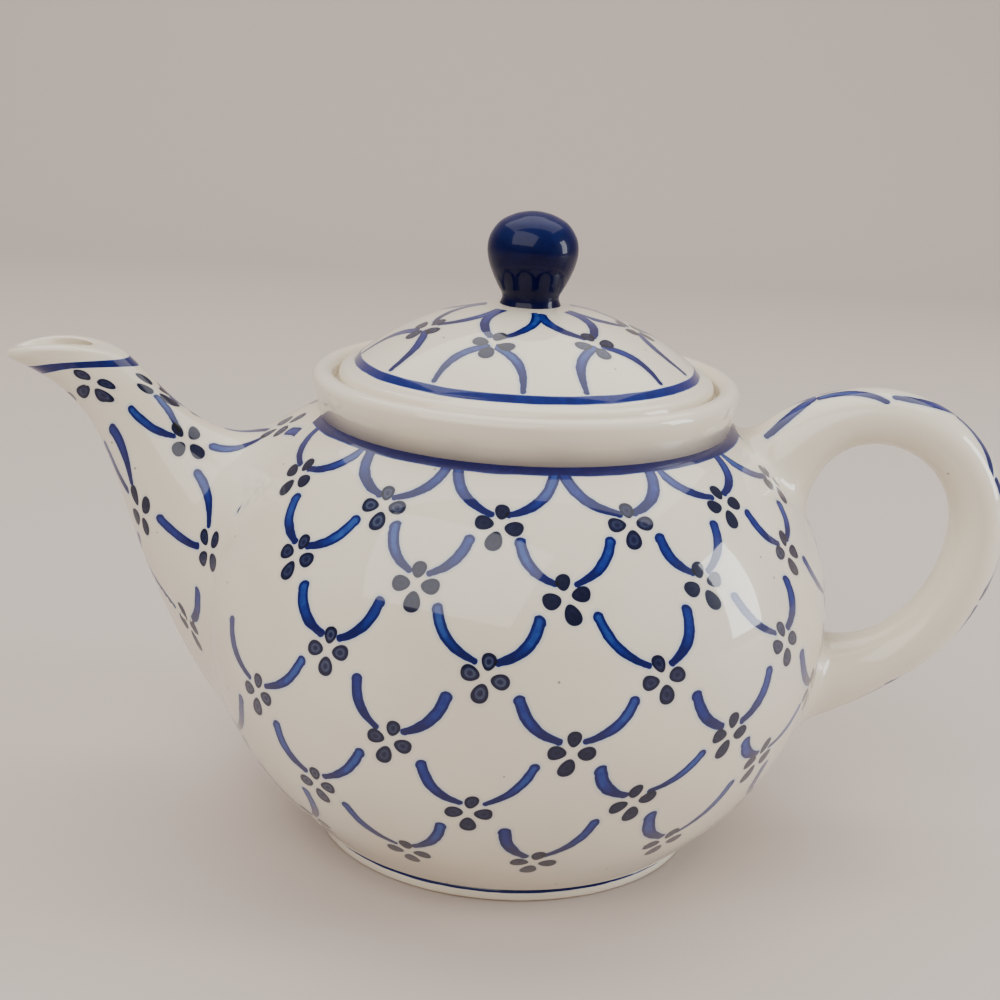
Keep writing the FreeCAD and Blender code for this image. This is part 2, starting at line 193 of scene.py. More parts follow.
def thrown(name, outline, clay):
    """Throws a piece from (radius, height) points that run from axis to axis or close on themselves."""
    drawn = bpy.data.curves.new(name + "_outline", "CURVE")
    drawn.dimensions = "3D"
    line = drawn.splines.new("POLY")
    line.points.add(len(outline) - 1)
    for point, (radius, height) in zip(line.points, outline):
        point.co = (radius, 0, height, 1)
    pattern = bpy.data.objects.new(name + "_outline", drawn)
    bpy.context.scene.collection.objects.link(pattern)
    turning = pattern.modifiers.new("turning", "NODES")
    turning.node_group = wheel
    for socket in wheel.interface.items_tree:
        if socket.name == "Steps round":
            turning[socket.identifier] = wheel_steps
        if socket.name == "Clay":
            turning[socket.identifier] = clay
    bpy.context.view_layer.update()
    turned = pattern.evaluated_get(bpy.context.evaluated_depsgraph_get())
    mesh = bpy.data.meshes.new_from_object(turned)
    bpy.data.objects.remove(pattern)
    facing_out(mesh)
    mesh.materials.clear()
    mesh.materials.append(clay)
    mesh.polygons.foreach_set("material_index", np.zeros(len(mesh.polygons), int))
    mesh.name = name
    piece = bpy.data.objects.new(name, mesh)
    bpy.context.scene.collection.objects.link(piece)
    return piece


class Wire:
    """A value in a shader tree, so that a brush mark can be written as a formula."""

    def __init__(self, tree, source):
        self.tree = tree
        self.source = source

    def reckon(self, operation, *terms):
        """The value reckoned with others by one Math node."""
        node = self.tree.nodes.new("ShaderNodeMath")
        node.operation = operation
        for socket, term in zip(node.inputs, (self, *terms)):
            plug(self.tree, socket, term)
        return Wire(self.tree, node.outputs[0])

    def __add__(self, term):
        return self.reckon("ADD", term)

    def __sub__(self, term):
        return self.reckon("SUBTRACT", term)

    def __rsub__(self, term):
        return self.reckon("MULTIPLY_ADD", -1.0, term)

    def __mul__(self, term):
        return self.reckon("MULTIPLY", term)

    def __truediv__(self, term):
        return self.reckon("DIVIDE", term)

    __radd__ = __add__
    __rmul__ = __mul__

    def between(self, low, high):
        """1 where the value lies between two others, or else 0."""
        return self.reckon("GREATER_THAN", low) * self.reckon("LESS_THAN", high)

    def soft(self, low, high):
        """A soft step from 0 at low to 1 at high; with low above high it falls instead."""
        node = self.tree.nodes.new("ShaderNodeMapRange")
        node.interpolation_type = "SMOOTHSTEP"
        for name, term in (("Value", self), ("From Min", low), ("From Max", high)):
            plug(self.tree, node.inputs[name], term)
        return Wire(self.tree, node.outputs["Result"])


def parts(tree, vector):
    """The three numbers of a vector or colour."""
    node = tree.nodes.new("ShaderNodeSeparateXYZ")
    plug(tree, node.inputs[0], vector)
    return [Wire(tree, socket) for socket in node.outputs]


def together(tree, *numbers):
    """A vector made of three numbers."""
    node = tree.nodes.new("ShaderNodeCombineXYZ")
    for socket, number in zip(node.inputs, numbers):
        plug(tree, socket, number)
    return node.outputs[0]


def chance(tree, column, row, throw):
    """Three numbers from 0 to 1 that belong to one crossing or cell of the trellis."""
    node = tree.nodes.new("ShaderNodeTexWhiteNoise")
    plug(tree, node.inputs["Vector"], together(tree, column, row, throw))
    return parts(tree, node.outputs["Color"])


def clouds(tree, place, size, detail):
    """Soft noise, from 0 to 1, with patches of a size."""
    node = tree.nodes.new("ShaderNodeTexNoise")
    node.inputs["Scale"].default_value = 1 / size
    node.inputs["Detail"].default_value = detail
    plug(tree, node.inputs["Vector"], place)
    return Wire(tree, node.outputs[0])


def shared_group(name, inputs, outputs):
    """An empty shader group with named inputs, given as plain values, and named outputs."""
    tree = bpy.data.node_groups.new(name, "ShaderNodeTree")
    for label, value in inputs.items():
        kind = "NodeSocketVector" if isinstance(value, tuple) else "NodeSocketFloat"
        tree.interface.new_socket(label, in_out="INPUT", socket_type=kind).default_value = value
    for label, kind in outputs.items():
        tree.interface.new_socket(label, in_out="OUTPUT", socket_type=kind)
    return tree, tree.nodes.new("NodeGroupInput").outputs, tree.nodes.new("NodeGroupOutput").inputs


def use_group(tree, group, **settings):
    """A node that uses a shared group, with its inputs set by name (words joined by underscores)."""
    node = tree.nodes.new("ShaderNodeGroup")
    node.node_tree = group
    for label, term in settings.items():
        plug(tree, node.inputs[label.replace("_", " ")], term)
    return node.outputs


def ramp(tree, value, stops):
    """Colours along a value, from (place, colour) stops: the first, the last, then those between."""
    node = tree.nodes.new("ShaderNodeValToRGB")
    for count, (place, colour) in enumerate(stops):
        stop = node.color_ramp.elements[count] if count < 2 else node.color_ramp.elements.new(place)
        stop.position = place
        stop.color = (*colour, 1.0)
    plug(tree, node.inputs[0], value)
    return node.outputs[0]


def blend(tree, share, first, second):
    """A colour that passes from the first to the second by a share."""
    node = tree.nodes.new("ShaderNodeMix")
    node.data_type = "RGBA"
    for name, term in (("Factor", share), ("A", first), ("B", second)):
        plug(tree, node.inputs[name], term)
    return node.outputs["Result"]


def washed(tree, under, over):
    """Two colours laid one over the other, as a pigment lies under a glaze."""
    node = tree.nodes.new("ShaderNodeVectorMath")
    node.operation = "MULTIPLY"
    plug(tree, node.inputs[0], under)
    plug(tree, node.inputs[1], over)
    return node.outputs[0]


# Petal sizes in millimetres: a side petal's, then what an upright one and the lowest one add to it
petal_length = (2.0, -0.15, 0.35)
petal_breadth = (1.65, -0.12, 0.25)
petal_distance = (3.2, 0.15, 0.2)
# The petal's edges as shares of its own size, and how full the brush is there
petal_swell = 0.2
petal_edge = (1.08, 0.92)
petal_rim = (0.45, 0.85)
petal_heart = (0.5, 0.1)
heart_load = 0.6
petal_bleed = (1.6, 1.0)
petal_bleed_load = 0.08


def blossom_brush():
    """Four petals pressed with a round brush: dark at the edge and thinner inside."""
    tree, given, result = shared_group(
        "blossom_brush",
        {"Across": 0.0, "Down": 0.0, "Turn": 0.0, "Load": 0.5},
        {"Wash": "NodeSocketFloat"})
    across, down, turn, load = [Wire(tree, given[label]) for label in ("Across", "Down", "Turn", "Load")]
    x = across * turn.reckon("COSINE") + down * turn.reckon("SINE")
    y = down * turn.reckon("COSINE") - across * turn.reckon("SINE")
    wide = x.reckon("ABSOLUTE")
    tall = y.reckon("ABSOLUTE")
    upright = tall.reckon("GREATER_THAN", wide)
    lowest = upright * y.reckon("GREATER_THAN", 0.0)
    length, breadth, distance = [
        side + upright_adds * upright + lowest_adds * lowest
        for side, upright_adds, lowest_adds in (petal_length, petal_breadth, petal_distance)]
    out = (wide.reckon("MAXIMUM", tall) - distance) / length
    aside = wide.reckon("MINIMUM", tall) / (breadth * (1 + petal_swell * out))
    edge = (out * out + aside * aside).reckon("SQRT")
    pooled = edge.soft(*petal_rim).reckon("MAXIMUM", heart_load * edge.soft(*petal_heart))
    petal = edge.soft(*petal_edge) * (load + (1 - load) * pooled)
    plug(tree, result["Wash"], petal + petal_bleed_load * edge.soft(*petal_bleed))
    return tree


blossom = blossom_brush()

# How the painter's hand strays: blossoms in millimetres, radians and load, strokes in shares of a cell.
# A stroke that reaches a blossom ends at the shares stroke_end, and each kind of chance has its own throw.
blossom_stray = 1.8
blossom_turn = 0.45
blossom_least_load = 0.42
blossom_load_range = 0.5
stroke_stray = (0.12, 0.1, 0.06)
stroke_end = (0.85, 0.82)
place_throw = 1.0
load_throw = 2.0
stroke_throw = 3.0
# The rows of crossings left bare behind the spout, and how much narrower that patch is in the row above
bare_rows = (1.5, 4.5)
bare_crown = (0.5, 1.5)
bare_narrowing = 1.6
left_out_rows = (-0.5, 4.5)
# A stroke's half width, what changes it and its soft edges, in millimetres
stroke_half = 1.35
stroke_half_range = 0.25
stroke_taper = 0.55
waver_depth = 0.5
stroke_edge = (0.16, -0.16)
stroke_pool = (-0.85, -0.2)
stroke_bleed = (1.2, 0.0)
# The size of the waver in cells, how full the brush is, and where along a stroke it is pressed
waver_size = 0.16
stroke_bleed_load = 0.1
stroke_least_load = 0.46
stroke_load_range = 0.25
press_load = 0.5
press_run = (0.3, 1.0)


def trellis_brush():
    """The trellis: a blossom at each crossing and one bent stroke from crossing to crossing in each cell.
    The lattice counts half columns and rows; the reach is the size of one cell in millimetres."""
    tree, given, result = shared_group(
        "trellis_brush",
        {"Lattice": (0.0, 0.0, 0.0), "Reach": (1.0, 1.0, 1.0), "Half columns": 28.0,
         "Sag": 0.13, "Top sag": 0.15, "Longest": 15.0, "Turnabout": 0.0,
         "First blossoms": 1.0, "Last blossoms": 6.0, "First strokes": 0.0, "Last strokes": 5.0,
         "Bare from": 0.0, "Bare to": 0.0, "Blossom start": (0.4, 0.28, 0.0),
         "Free start": (0.1, 0.08, 0.0), "Free end": (0.62, 0.98, 0.0)},
        {"Strokes": "NodeSocketFloat", "Blossoms": "NodeSocketFloat"})
    half_columns, sag, top_sag, longest, turnabout, bare_from, bare_to = [
        Wire(tree, given[label])
        for label in ("Half columns", "Sag", "Top sag", "Longest", "Turnabout", "Bare from", "Bare to")]
    first_bloom = Wire(tree, given["First blossoms"]) - 0.5
    last_bloom = Wire(tree, given["Last blossoms"]) + 0.5
    first_stroke = Wire(tree, given["First strokes"]) - 0.5
    last_stroke = Wire(tree, given["Last strokes"]) + 0.5
    p, q = parts(tree, given["Lattice"])[:2]
    wide, tall = parts(tree, given["Reach"])[:2]
    column = p.reckon("FLOOR")
    row = q.reckon("FLOOR")
    mirrored = (column + row).reckon("FLOORED_MODULO", 2.0)
    hand = 1 - 2 * mirrored
    share = p - column
    x = (share + mirrored * (1 - 2 * share)) * wide
    y = (q - row) * tall

    def crossing(right, below):
        """A crossing of this cell: if it is painted, where it strays to, and its brush's turn and load."""
        home = (column + right).reckon("FLOORED_MODULO", half_columns)
        level = row + below
        luck = chance(tree, home, level, place_throw)
        patch = home.between(bare_from, bare_to) * level.between(*bare_rows)
        narrowed = home.between(bare_from + bare_narrowing, bare_to - bare_narrowing)
        crown = narrowed * level.between(*bare_crown)
        painted = level.between(first_bloom, last_bloom) * (1 - (patch + crown))
        stray_across = (luck[0] - 0.5) * blossom_stray * hand
        stray_down = (luck[1] - 0.5) * blossom_stray
        turn = (luck[2] - 0.5) * blossom_turn * hand
        load = blossom_least_load + blossom_load_range * chance(tree, home, level, load_throw)[0]
        return painted, stray_across, stray_down, turn, load

    upper_painted, upper_x, upper_y, upper_turn, upper_load = crossing(mirrored, 0.0)
    lower_painted, lower_x, lower_y, lower_turn, lower_load = crossing(1 - mirrored, 1.0)
    lower_x = lower_x + wide
    lower_y = lower_y + tall
    upper_blossom = use_group(tree, blossom, Across=x - upper_x, Down=y - upper_y, Turn=upper_turn,
                              Load=upper_load)
    lower_blossom = use_group(tree, blossom, Across=x - lower_x, Down=y - lower_y, Turn=lower_turn,
                              Load=lower_load)
    upper_wash = Wire(tree, upper_blossom["Wash"]) * upper_painted
    lower_wash = Wire(tree, lower_blossom["Wash"]) * lower_painted
    plug(tree, result["Blossoms"], upper_wash.reckon("MAXIMUM", lower_wash))

    luck = chance(tree, column.reckon("FLOORED_MODULO", half_columns), row, stroke_throw)
    bloom_x, bloom_y = parts(tree, given["Blossom start"])[:2]
    free_x, free_y = parts(tree, given["Free start"])[:2]
    loose_x, loose_y = parts(tree, given["Free end"])[:2]
    start_share_x = free_x + (bloom_x - free_x) * upper_painted + (luck[0] - 0.5) * stroke_stray[0]
    start_share_y = free_y + (bloom_y - free_y) * upper_painted + (luck[1] - 0.5) * stroke_stray[1]
    end_share_x = loose_x - 1 + (stroke_end[0] - loose_x) * lower_painted + (luck[2] - 0.5) * stroke_stray[2]
    end_share_y = loose_y - 1 + (stroke_end[1] - loose_y) * lower_painted
    end_x = lower_x + wide * end_share_x
    end_y = lower_y + tall * end_share_y
    run_x = end_x - (upper_x + wide * start_share_x)
    run_y = end_y - (upper_y + tall * start_share_y)
    whole = (run_x * run_x + run_y * run_y).reckon("SQRT")
    length = whole.reckon("MINIMUM", longest)
    run_x = run_x * (length / whole)
    run_y = run_y * (length / whole)
    from_x = x - end_x + run_x
    from_y = y - end_y + run_y
    along = (from_x * run_x + from_y * run_y) / (length * length)
    aside = (from_y * run_x - from_x * run_y) / length
    held = along.reckon("MAXIMUM", 0.0).reckon("MINIMUM", 1.0)
    top_row = row.reckon("LESS_THAN", 0.5)
    middle_bend = (sag + (top_sag - sag) * top_row) * length
    off_line = aside - 4 * middle_bend * held * (1 - held)
    beyond = (along - held) * length
    back = turnabout * row.reckon("FLOORED_MODULO", 2.0)
    drawn = held + back * (1 - 2 * held)
    waver = (clouds(tree, together(tree, p, q, 0.0), waver_size, detail=2.0) - 0.5) * waver_depth
    half_width = stroke_half + stroke_half_range * (luck[1] - 0.5) - stroke_taper * drawn * drawn + waver
    gap = (off_line * off_line + beyond * beyond).reckon("SQRT") - half_width
    laid = stroke_least_load + stroke_load_range * luck[0] + press_load * drawn.soft(*press_run)
    laid = laid.reckon("MINIMUM", 1.0)
    ink = gap.soft(*stroke_edge) * (laid + (1 - laid) * gap.soft(*stroke_pool))
    has_bare = bare_to.reckon("GREATER_THAN", 0.0)
    left_out = (1 - lower_painted) * row.between(*left_out_rows) * has_bare
    painted = row.between(first_stroke, last_stroke) * (1 - left_out)
    plug(tree, result["Strokes"], (ink + stroke_bleed_load * gap.soft(*stroke_bleed)) * painted)
    return tree


trellis = trellis_brush()

# The colour that each depth of pigment gives: none, full, then the depths between
cobalt_depths = (
    (0.0, (1.0, 1.0, 1.0)),
    (1.0, (0.001, 0.003, 0.14)),
    (0.12, (0.70, 0.80, 0.97)),
    (0.42, (0.035, 0.14, 0.60)),
    (0.72, (0.005, 0.022, 0.33)))
slate_depths = (
    (0.0, (1.0, 1.0, 1.0)),
    (1.0, (0.0015, 0.0025, 0.04)),
    (0.12, (0.78, 0.81, 0.9)),
    (0.45, (0.07, 0.10, 0.22)),
    (0.75, (0.010, 0.015, 0.095)))
pigment_grain = 1.6 * MM
pigment_least = 0.8
pigment_range = 0.4


def pigment_wash():
    """What painted pigment does to the glaze over it: cobalt for strokes and bands, slate for blossoms."""
    tree, given, result = shared_group(
        "pigment_wash",
        {"Cobalt": 0.0, "Slate": 0.0, "Place": (0.0, 0.0, 0.0)},
        {"Tint": "NodeSocketColor"})
    mottle = pigment_least + pigment_range * clouds(tree, given["Place"], pigment_grain, detail=3.0)
    cobalt = ramp(tree, Wire(tree, given["Cobalt"]) * mottle, cobalt_depths)
    slate = ramp(tree, Wire(tree, given["Slate"]) * mottle, slate_depths)
    plug(tree, result["Tint"], washed(tree, cobalt, slate))
    return tree


pigment = pigment_wash()
cream_tones = ((0.3, (0.79, 0.70, 0.55)), (0.7, (0.84, 0.765, 0.62)))
cream_cloud = 30 * MM
speck_spacing = 9 * MM
speck_edge = (0.045, 0.02)
speck_load = 0.75
iron_brown = (0.16, 0.10, 0.06, 1.0)
wave_size = 22 * MM
ripple_size = 1.8 * MM
ripple_share = 0.05


def stoneware_skin():
    """The bare cream glaze: cloudy tone, a few iron specks and the faint waves of a fired surface."""
    tree, given, result = shared_group(
        "stoneware_skin",
        {"Place": (0.0, 0.0, 0.0)},
        {"Cream": "NodeSocketColor", "Waves": "NodeSocketFloat"})
    tone = ramp(tree, clouds(tree, given["Place"], cream_cloud, detail=3.0), cream_tones)
    grains = tree.nodes.new("ShaderNodeTexVoronoi")
    grains.inputs["Scale"].default_value = 1 / speck_spacing
    plug(tree, grains.inputs["Vector"], given["Place"])
    speck = speck_load * Wire(tree, grains.outputs["Distance"]).soft(*speck_edge)
    plug(tree, result["Cream"], blend(tree, speck, tone, iron_brown))
    ripples = ripple_share * clouds(tree, given["Place"], ripple_size, detail=2.0)
    plug(tree, result["Waves"], clouds(tree, given["Place"], wave_size, detail=1.0) + ripples)
    return tree


skin = stoneware_skin()
glaze_finish = {"Roughness": 0.35, "Specular IOR Level": 0.15, "Coat Weight": 1.0, "Coat Roughness": 0.04,
                "Coat IOR": 1.42}
glaze_wave_strength = 0.35
glaze_wave_height = 0.6 * MM


class Glaze:
    """A gloss cream glaze on stoneware, to which each piece adds its own painting."""

    def __init__(self, name):
        self.material = bpy.data.materials.new(name)
        self.material.use_nodes = True
        self.tree = self.material.node_tree
        self.shader = self.tree.nodes["Principled BSDF"]
        self.place = self.tree.nodes.new("ShaderNodeTexCoord").outputs["Object"]
        self.x, self.y, self.z = [axis / MM for axis in parts(self.tree, self.place)]
        self.surface = use_group(self.tree, skin, Place=self.place)
        bump = self.tree.nodes.new("ShaderNodeBump")
        bump.inputs["Strength"].default_value = glaze_wave_strength
        bump.inputs["Distance"].default_value = glaze_wave_height
        plug(self.tree, bump.inputs["Height"], self.surface["Waves"])
        self.finish("Normal", bump.outputs[0])
        self.finish("Base Color", self.surface["Cream"])
        for quality, value in glaze_finish.items():
            self.finish(quality, value)

    def finish(self, quality, term):
        """Sets one quality of the glaze, such as its roughness."""
        plug(self.tree, self.shader.inputs[quality], term)

    def map(self, name):
        """One of the piece's brushwork maps."""
        node = self.tree.nodes.new("ShaderNodeUVMap")
        node.uv_map = name
        return node.outputs[0]

    def unsteady(self, size, depth, detail=2.0):
        """The wavering of an edge drawn by hand, from patches of a size."""
        return (clouds(self.tree, self.place, size, detail) - 0.5) * depth

    def trellis(self, **settings):
        """The trellis painted over the piece's own brushwork maps."""
        lattice = self.map("brushwork")
        marks = use_group(self.tree, trellis, Lattice=lattice, Reach=self.map("reach"), **settings)
        return Wire(self.tree, marks["Strokes"]), Wire(self.tree, marks["Blossoms"])

    def paint(self, cobalt, slate):
        """Lays the pigment under the glaze and gives back the painted colour."""
        tint = use_group(self.tree, pigment, Cobalt=cobalt, Slate=slate, Place=self.place)["Tint"]
        painted = washed(self.tree, self.surface["Cream"], tint)
        self.finish("Base Color", painted)
        return painted


def unrolled(mesh, values, period):
    """A value round a piece, taken from points to face corners so that no face crosses its seam."""
    corner = np.zeros(len(mesh.loops), int)
    mesh.loops.foreach_get("vertex_index", corner)
    starts = np.zeros(len(mesh.polygons), int)
    mesh.polygons.foreach_get("loop_start", starts)
    sizes = np.zeros(len(mesh.polygons), int)
    mesh.polygons.foreach_get("loop_total", sizes)
    given = values[corner]
    top = np.repeat(np.maximum.reduceat(given, starts), sizes)
    return np.where(top - given > period / 2, given + period, given), corner


def brushwork(piece, lattice, reach, half_columns):
    """Gives a piece its maps: where each corner lies on the trellis, and how big a cell is there."""
    mesh = piece.data
    across, corner = unrolled(mesh, lattice[0], half_columns)
    maps = (("brushwork", across, lattice[1][corner]), ("reach", reach[0][corner], reach[1][corner]))
    for name, first, second in maps:
        layer = mesh.uv_layers.new(name=name)
        layer.data.foreach_set("uv", np.stack((first, second), axis=-1).astype(np.float32).ravel())


def points_of(piece):
    """The points of a piece, as an array."""
    spots = np.zeros(len(piece.data.vertices) * 3)
    piece.data.vertices.foreach_get("co", spots)
    return spots.reshape(-1, 3)


# A row that lies off every trellis
unpainted = -5.0
pin_sides = 24
crisp_edge = math.radians(40)


def pierced(piece, pins):
    """Pierces a piece with round pins, each given by its middle, direction, radius and length."""
    spots = []
    faces = []
    for middle, heading, radius, length in pins:
        turn = Vector((0, 0, 1)).rotation_difference(Vector(heading))
        first = len(spots)
        for end in (-0.5, 0.5):
            for side in range(pin_sides):
                angle = 2 * math.pi * side / pin_sides
                spot = Vector((radius * math.cos(angle), radius * math.sin(angle), end * length))
                spots.append(turn @ spot + Vector(middle))
        around = [(first + side, first + (side + 1) % pin_sides) for side in range(pin_sides)]
        faces += [(near, far, far + pin_sides, near + pin_sides) for near, far in around]
        faces.append([first + side for side in reversed(range(pin_sides))])
        faces.append([first + pin_sides + side for side in range(pin_sides)])
    mesh = bpy.data.meshes.new(piece.name + "_pins")
    mesh.from_pydata(spots, [], faces)
    for layer in piece.data.uv_layers:
        bare = mesh.uv_layers.new(name=layer.name)
        bare.data.foreach_set("uv", np.tile((1.0, unpainted), len(mesh.loops)).astype(np.float32))
    pin = bpy.data.objects.new(mesh.name, mesh)
    bpy.context.scene.collection.objects.link(pin)
    piercing = piece.modifiers.new("piercing", "BOOLEAN")
    piercing.operation = "DIFFERENCE"
    piercing.solver = "EXACT"
    piercing.object = pin
    bpy.context.view_layer.update()
    shaped = piece.evaluated_get(bpy.context.evaluated_depsgraph_get())
    pierced_mesh = bpy.data.meshes.new_from_object(shaped)
    piece.modifiers.clear()
    piece.data = pierced_mesh
    bpy.data.objects.remove(pin)
    pierced_mesh.shade_smooth()
    pierced_mesh.set_sharp_from_angle(angle=crisp_edge)


body_columns = 14
# Each row of crossings: distance up from the belly line (mm), turn (degrees), spread at the front, tilt (mm)
trellis_rows = (
    (55.5, -1.0, 0.0, 0.0),
    (41.0, 0.0, 0.0, 0.0),
    (26.0, -1.0, 0.0, 0.0),
    (7.5, 0.0, 0.11, 0.0),
    (-8.5, -0.6, 0.14, 0.0),
    (-24.5, -3.0, 0.14, 6.0),
    (-43.5, -3.2, 0.05, 6.0),
    (-62.0, -3.0, 0.0, 3.0))
front_blossom = math.radians(-3.0)
painted_depth = 0.5 * MM
settling_rounds = 6


def body_brushwork(piece):
    """Lays the trellis over the belly, row by row, as the painter let the rows drift."""
    spots = points_of(piece)
    facing = np.arctan2(spots[:, 0], -spots[:, 1])
    height = spots[:, 2]
    centre = np.where(height > belly_height, upper_centre, lower_centre)
    outside = np.hypot(spots[:, 0], spots[:, 1]) > flank_radius(height) - painted_depth
    bow = belly_radius - centre
    along = bow * np.arcsin(np.clip((height - belly_height) / bow, -1, 1)) / MM
    levels, turns, spreads, tilts = np.array(trellis_rows).T
    lines = levels[None] + tilts[None] * np.sin(facing)[:, None]
    rows = np.arange(len(levels))
    row = np.array([np.interp(-a, -line, rows) for a, line in zip(along, lines)])
    turn = np.radians(np.interp(row, rows, turns))
    spread = np.interp(row, rows, spreads)
    lattice = facing - turn
    for settle in range(settling_rounds):
        lattice = facing - turn - spread * np.sin(lattice)
    half_column = math.pi / body_columns
    across = (lattice - front_blossom) / half_column + 1
    wide = flank_radius(height) / MM * half_column * (1 + spread * np.cos(facing))
    tall = np.array([np.interp(at, rows[:-1] + 0.5, line[:-1] - line[1:]) for at, line in zip(row, lines)])
    row = np.where(outside, row, unpainted)
    brushwork(piece, (across, row), (wide, tall), 2 * body_columns)


body_outline = eased(
    [(0, base_height, 0), (base_radius, base_height, base_edge)]
    + flank(trim_height, shoulder_height, 0, outside_steps)
    + [(neck_bore, shoulder_height, 0)]
    + flank(shoulder_height - wall, trim_height + wall, wall, inside_steps)
    + [(floor_radius, floor_height, floor_curve), (0, floor_height, 0)])
body_glaze = Glaze("painted_body_glaze")
pot_body = thrown("pot_body_glazed", body_outline, body_glaze.material)
body_brushwork(pot_body)
strainer_height = shoulder_height - 39.0 * MM
strainer_ring = 11.0 * MM
strainer_count = 6
strainer_bore = 5.0 * MM
strainer_depth = 30.0 * MM
strainer_middle = Vector((-belly_radius, 0, strainer_height))
strainer = [strainer_middle]
for hole in range(strainer_count):
    turn = 2 * math.pi * hole / strainer_count
    offset = Vector((0, strainer_ring * math.cos(turn), strainer_ring * math.sin(turn)))
    strainer.append(strainer_middle + offset)
pierced(pot_body, [(middle, (1, 0, 0), strainer_bore / 2, strainer_depth) for middle in strainer])
strokes, blossoms = body_glaze.trellis(Bare_from=18.9, Bare_to=25.4)
shoulder_line = (103.5, 103.8)
shoulder_band = (body_glaze.z + body_glaze.unsteady(size=12 * MM, depth=0.5)).soft(*shoulder_line)
body_glaze.paint(strokes.reckon("MAXIMUM", shoulder_band), blossoms)
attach(pot_body, "pot")
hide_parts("pot_body")


# Foot ring
# A low ring of stoneware, turned under the base, with a blue line where it meets the belly.
# It is glazed on its side and wiped bare on the sole, where it stood in the kiln.
foot_radius = 47.0 * MM
foot_bore = 41.0 * MM
foot_lean = 0.8 * MM
foot_edge = 0.8 * MM
sole_middle = foot_radius - 3 * MM
foot_outline = eased([
    (sole_middle, 0, 0),
    (foot_radius, 0, foot_edge),
    (foot_radius + foot_lean, base_height, 0),
    (foot_bore, base_height, 0),
    (foot_bore, 0, foot_edge),
    (sole_middle, 0, 0)])
foot_line = (2.4, 2.65)
sole_edge = (0.6, 0.4)
bare_clay = (0.47, 0.35, 0.25, 1.0)
bare_roughness = 0.85
foot_glaze = Glaze("foot_glaze")
level = foot_glaze.z + foot_glaze.unsteady(size=6 * MM, depth=0.4)
lined = foot_glaze.paint(level.soft(*foot_line), 0.0)
sole = level.soft(*sole_edge)
foot_glaze.finish("Base Color", blend(foot_glaze.tree, sole, lined, bare_clay))
rougher = bare_roughness - glaze_finish["Roughness"]
foot_glaze.finish("Roughness", glaze_finish["Roughness"] + rougher * sole)
foot_glaze.finish("Coat Weight", 1 - sole)
foot_ring = thrown("foot_ring_glazed", foot_outline, foot_glaze.material)
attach(foot_ring, "pot")
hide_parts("foot_ring")


# Collar ring
# An upright collar of stoneware, thrown by itself and joined to the shoulder with slip.
# Its rim is rounded, and a ledge inside it carries the lid.
collar_radius = 51.0 * MM
collar_bore = 45.8 * MM
collar_edge = 113.1 * MM
collar_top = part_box("collar_ring")[1].z
ledge_height = 111.2 * MM
mouth_radius = 37.0 * MM
ledge_corner = 0.6 * MM
mouth_edge = 0.8 * MM
rim_steps = 17
rim_centre = (collar_radius + collar_bore) / 2
rim_half = (collar_radius - collar_bore) / 2
rim = [(rim_centre + rim_half * math.cos(a), collar_edge + (collar_top - collar_edge) * math.sin(a), 0)
       for a in np.linspace(0, math.pi, rim_steps)]
collar_outline = eased(
    [(neck_radius, shoulder_height, 0)] + rim
    + [(collar_bore, ledge_height, ledge_corner), (mouth_radius, ledge_height, mouth_edge),
       (mouth_radius, shoulder_height, 0), (neck_radius, shoulder_height, 0)])
collar_ring = thrown("collar_ring_glazed", collar_outline, Glaze("collar_glaze").material)
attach(collar_ring, "pot")
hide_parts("collar_ring")


# Spout
# A tapered tube of stoneware, thrown, bent and cut to a beak at the lip.
# It is joined over the strainer holes with slip, and a wide fillet of clay is worked smooth round its root.
spout_root = np.array((-60.2, 68.5)) * MM
spout_bow = np.array((-98.6, 88.5)) * MM
spout_neck = np.array((-88.8, 110.5)) * MM
spout_tip = np.array((-125.9, 121.3)) * MM
spout_tip_half = 8.2 * MM
spout_flare = 31.5 * MM
spout_pinch = 10.5 * MM
spout_oval = 0.3 * MM
spout_taper = 4
spout_heel = -0.4
heel_ease = 0.07
spout_wall_root = 4.5 * MM
spout_wall_tip = 3.3 * MM
lip_centre = np.array((-110.3, 74.6)) * MM
lip_radius = 42.8 * MM
lip_outer_edge = 2.2 * MM
beak_edge = 5.5 * MM
beak_narrowing = 3
lip_bore_edge = 1.6 * MM
lip_search = (0.5, 1.15)
lip_halvings = 40
lip_steps = 12
bore_root = 0.16
bore_rows = 40
spout_round = 96
spout_rows = 220
row_crowding = 1.3
tube_steps = 400
spout_fillet = 11.0 * MM


def spout_wall_at(along, wall_share):
    """The spout's section at shares along it: its middle, which way is up, and its two half widths.
    A wall_share of 0 gives the outside and 1 the bore."""
    s = np.maximum(np.asarray(along, float), 0)[..., None]
    heel = np.minimum(np.asarray(along, float), 0)[..., None]
    axis = ((1 - s) ** 3 * spout_root + 3 * s * (1 - s) ** 2 * spout_bow
            + 3 * s ** 2 * (1 - s) * spout_neck + s ** 3 * spout_tip + 3 * heel * (spout_bow - spout_root))
    heading = (3 * (1 - s) ** 2 * (spout_bow - spout_root) + 6 * s * (1 - s) * (spout_neck - spout_bow)
               + 3 * s ** 2 * (spout_tip - spout_neck))
    heading = heading / np.linalg.norm(heading, axis=-1, keepdims=True)
    upward = np.stack((heading[..., 1], -heading[..., 0]), axis=-1)
    s = s[..., 0]
    flared = 1 - (along + np.hypot(along, heel_ease)) / 2
    thick = (spout_wall_root + (spout_wall_tip - spout_wall_root) * s) * wall_share
    half = spout_tip_half + spout_flare * flared ** spout_taper
    side = half - spout_oval - spout_pinch * flared ** spout_taper
    return axis, upward, half - thick, side - thick


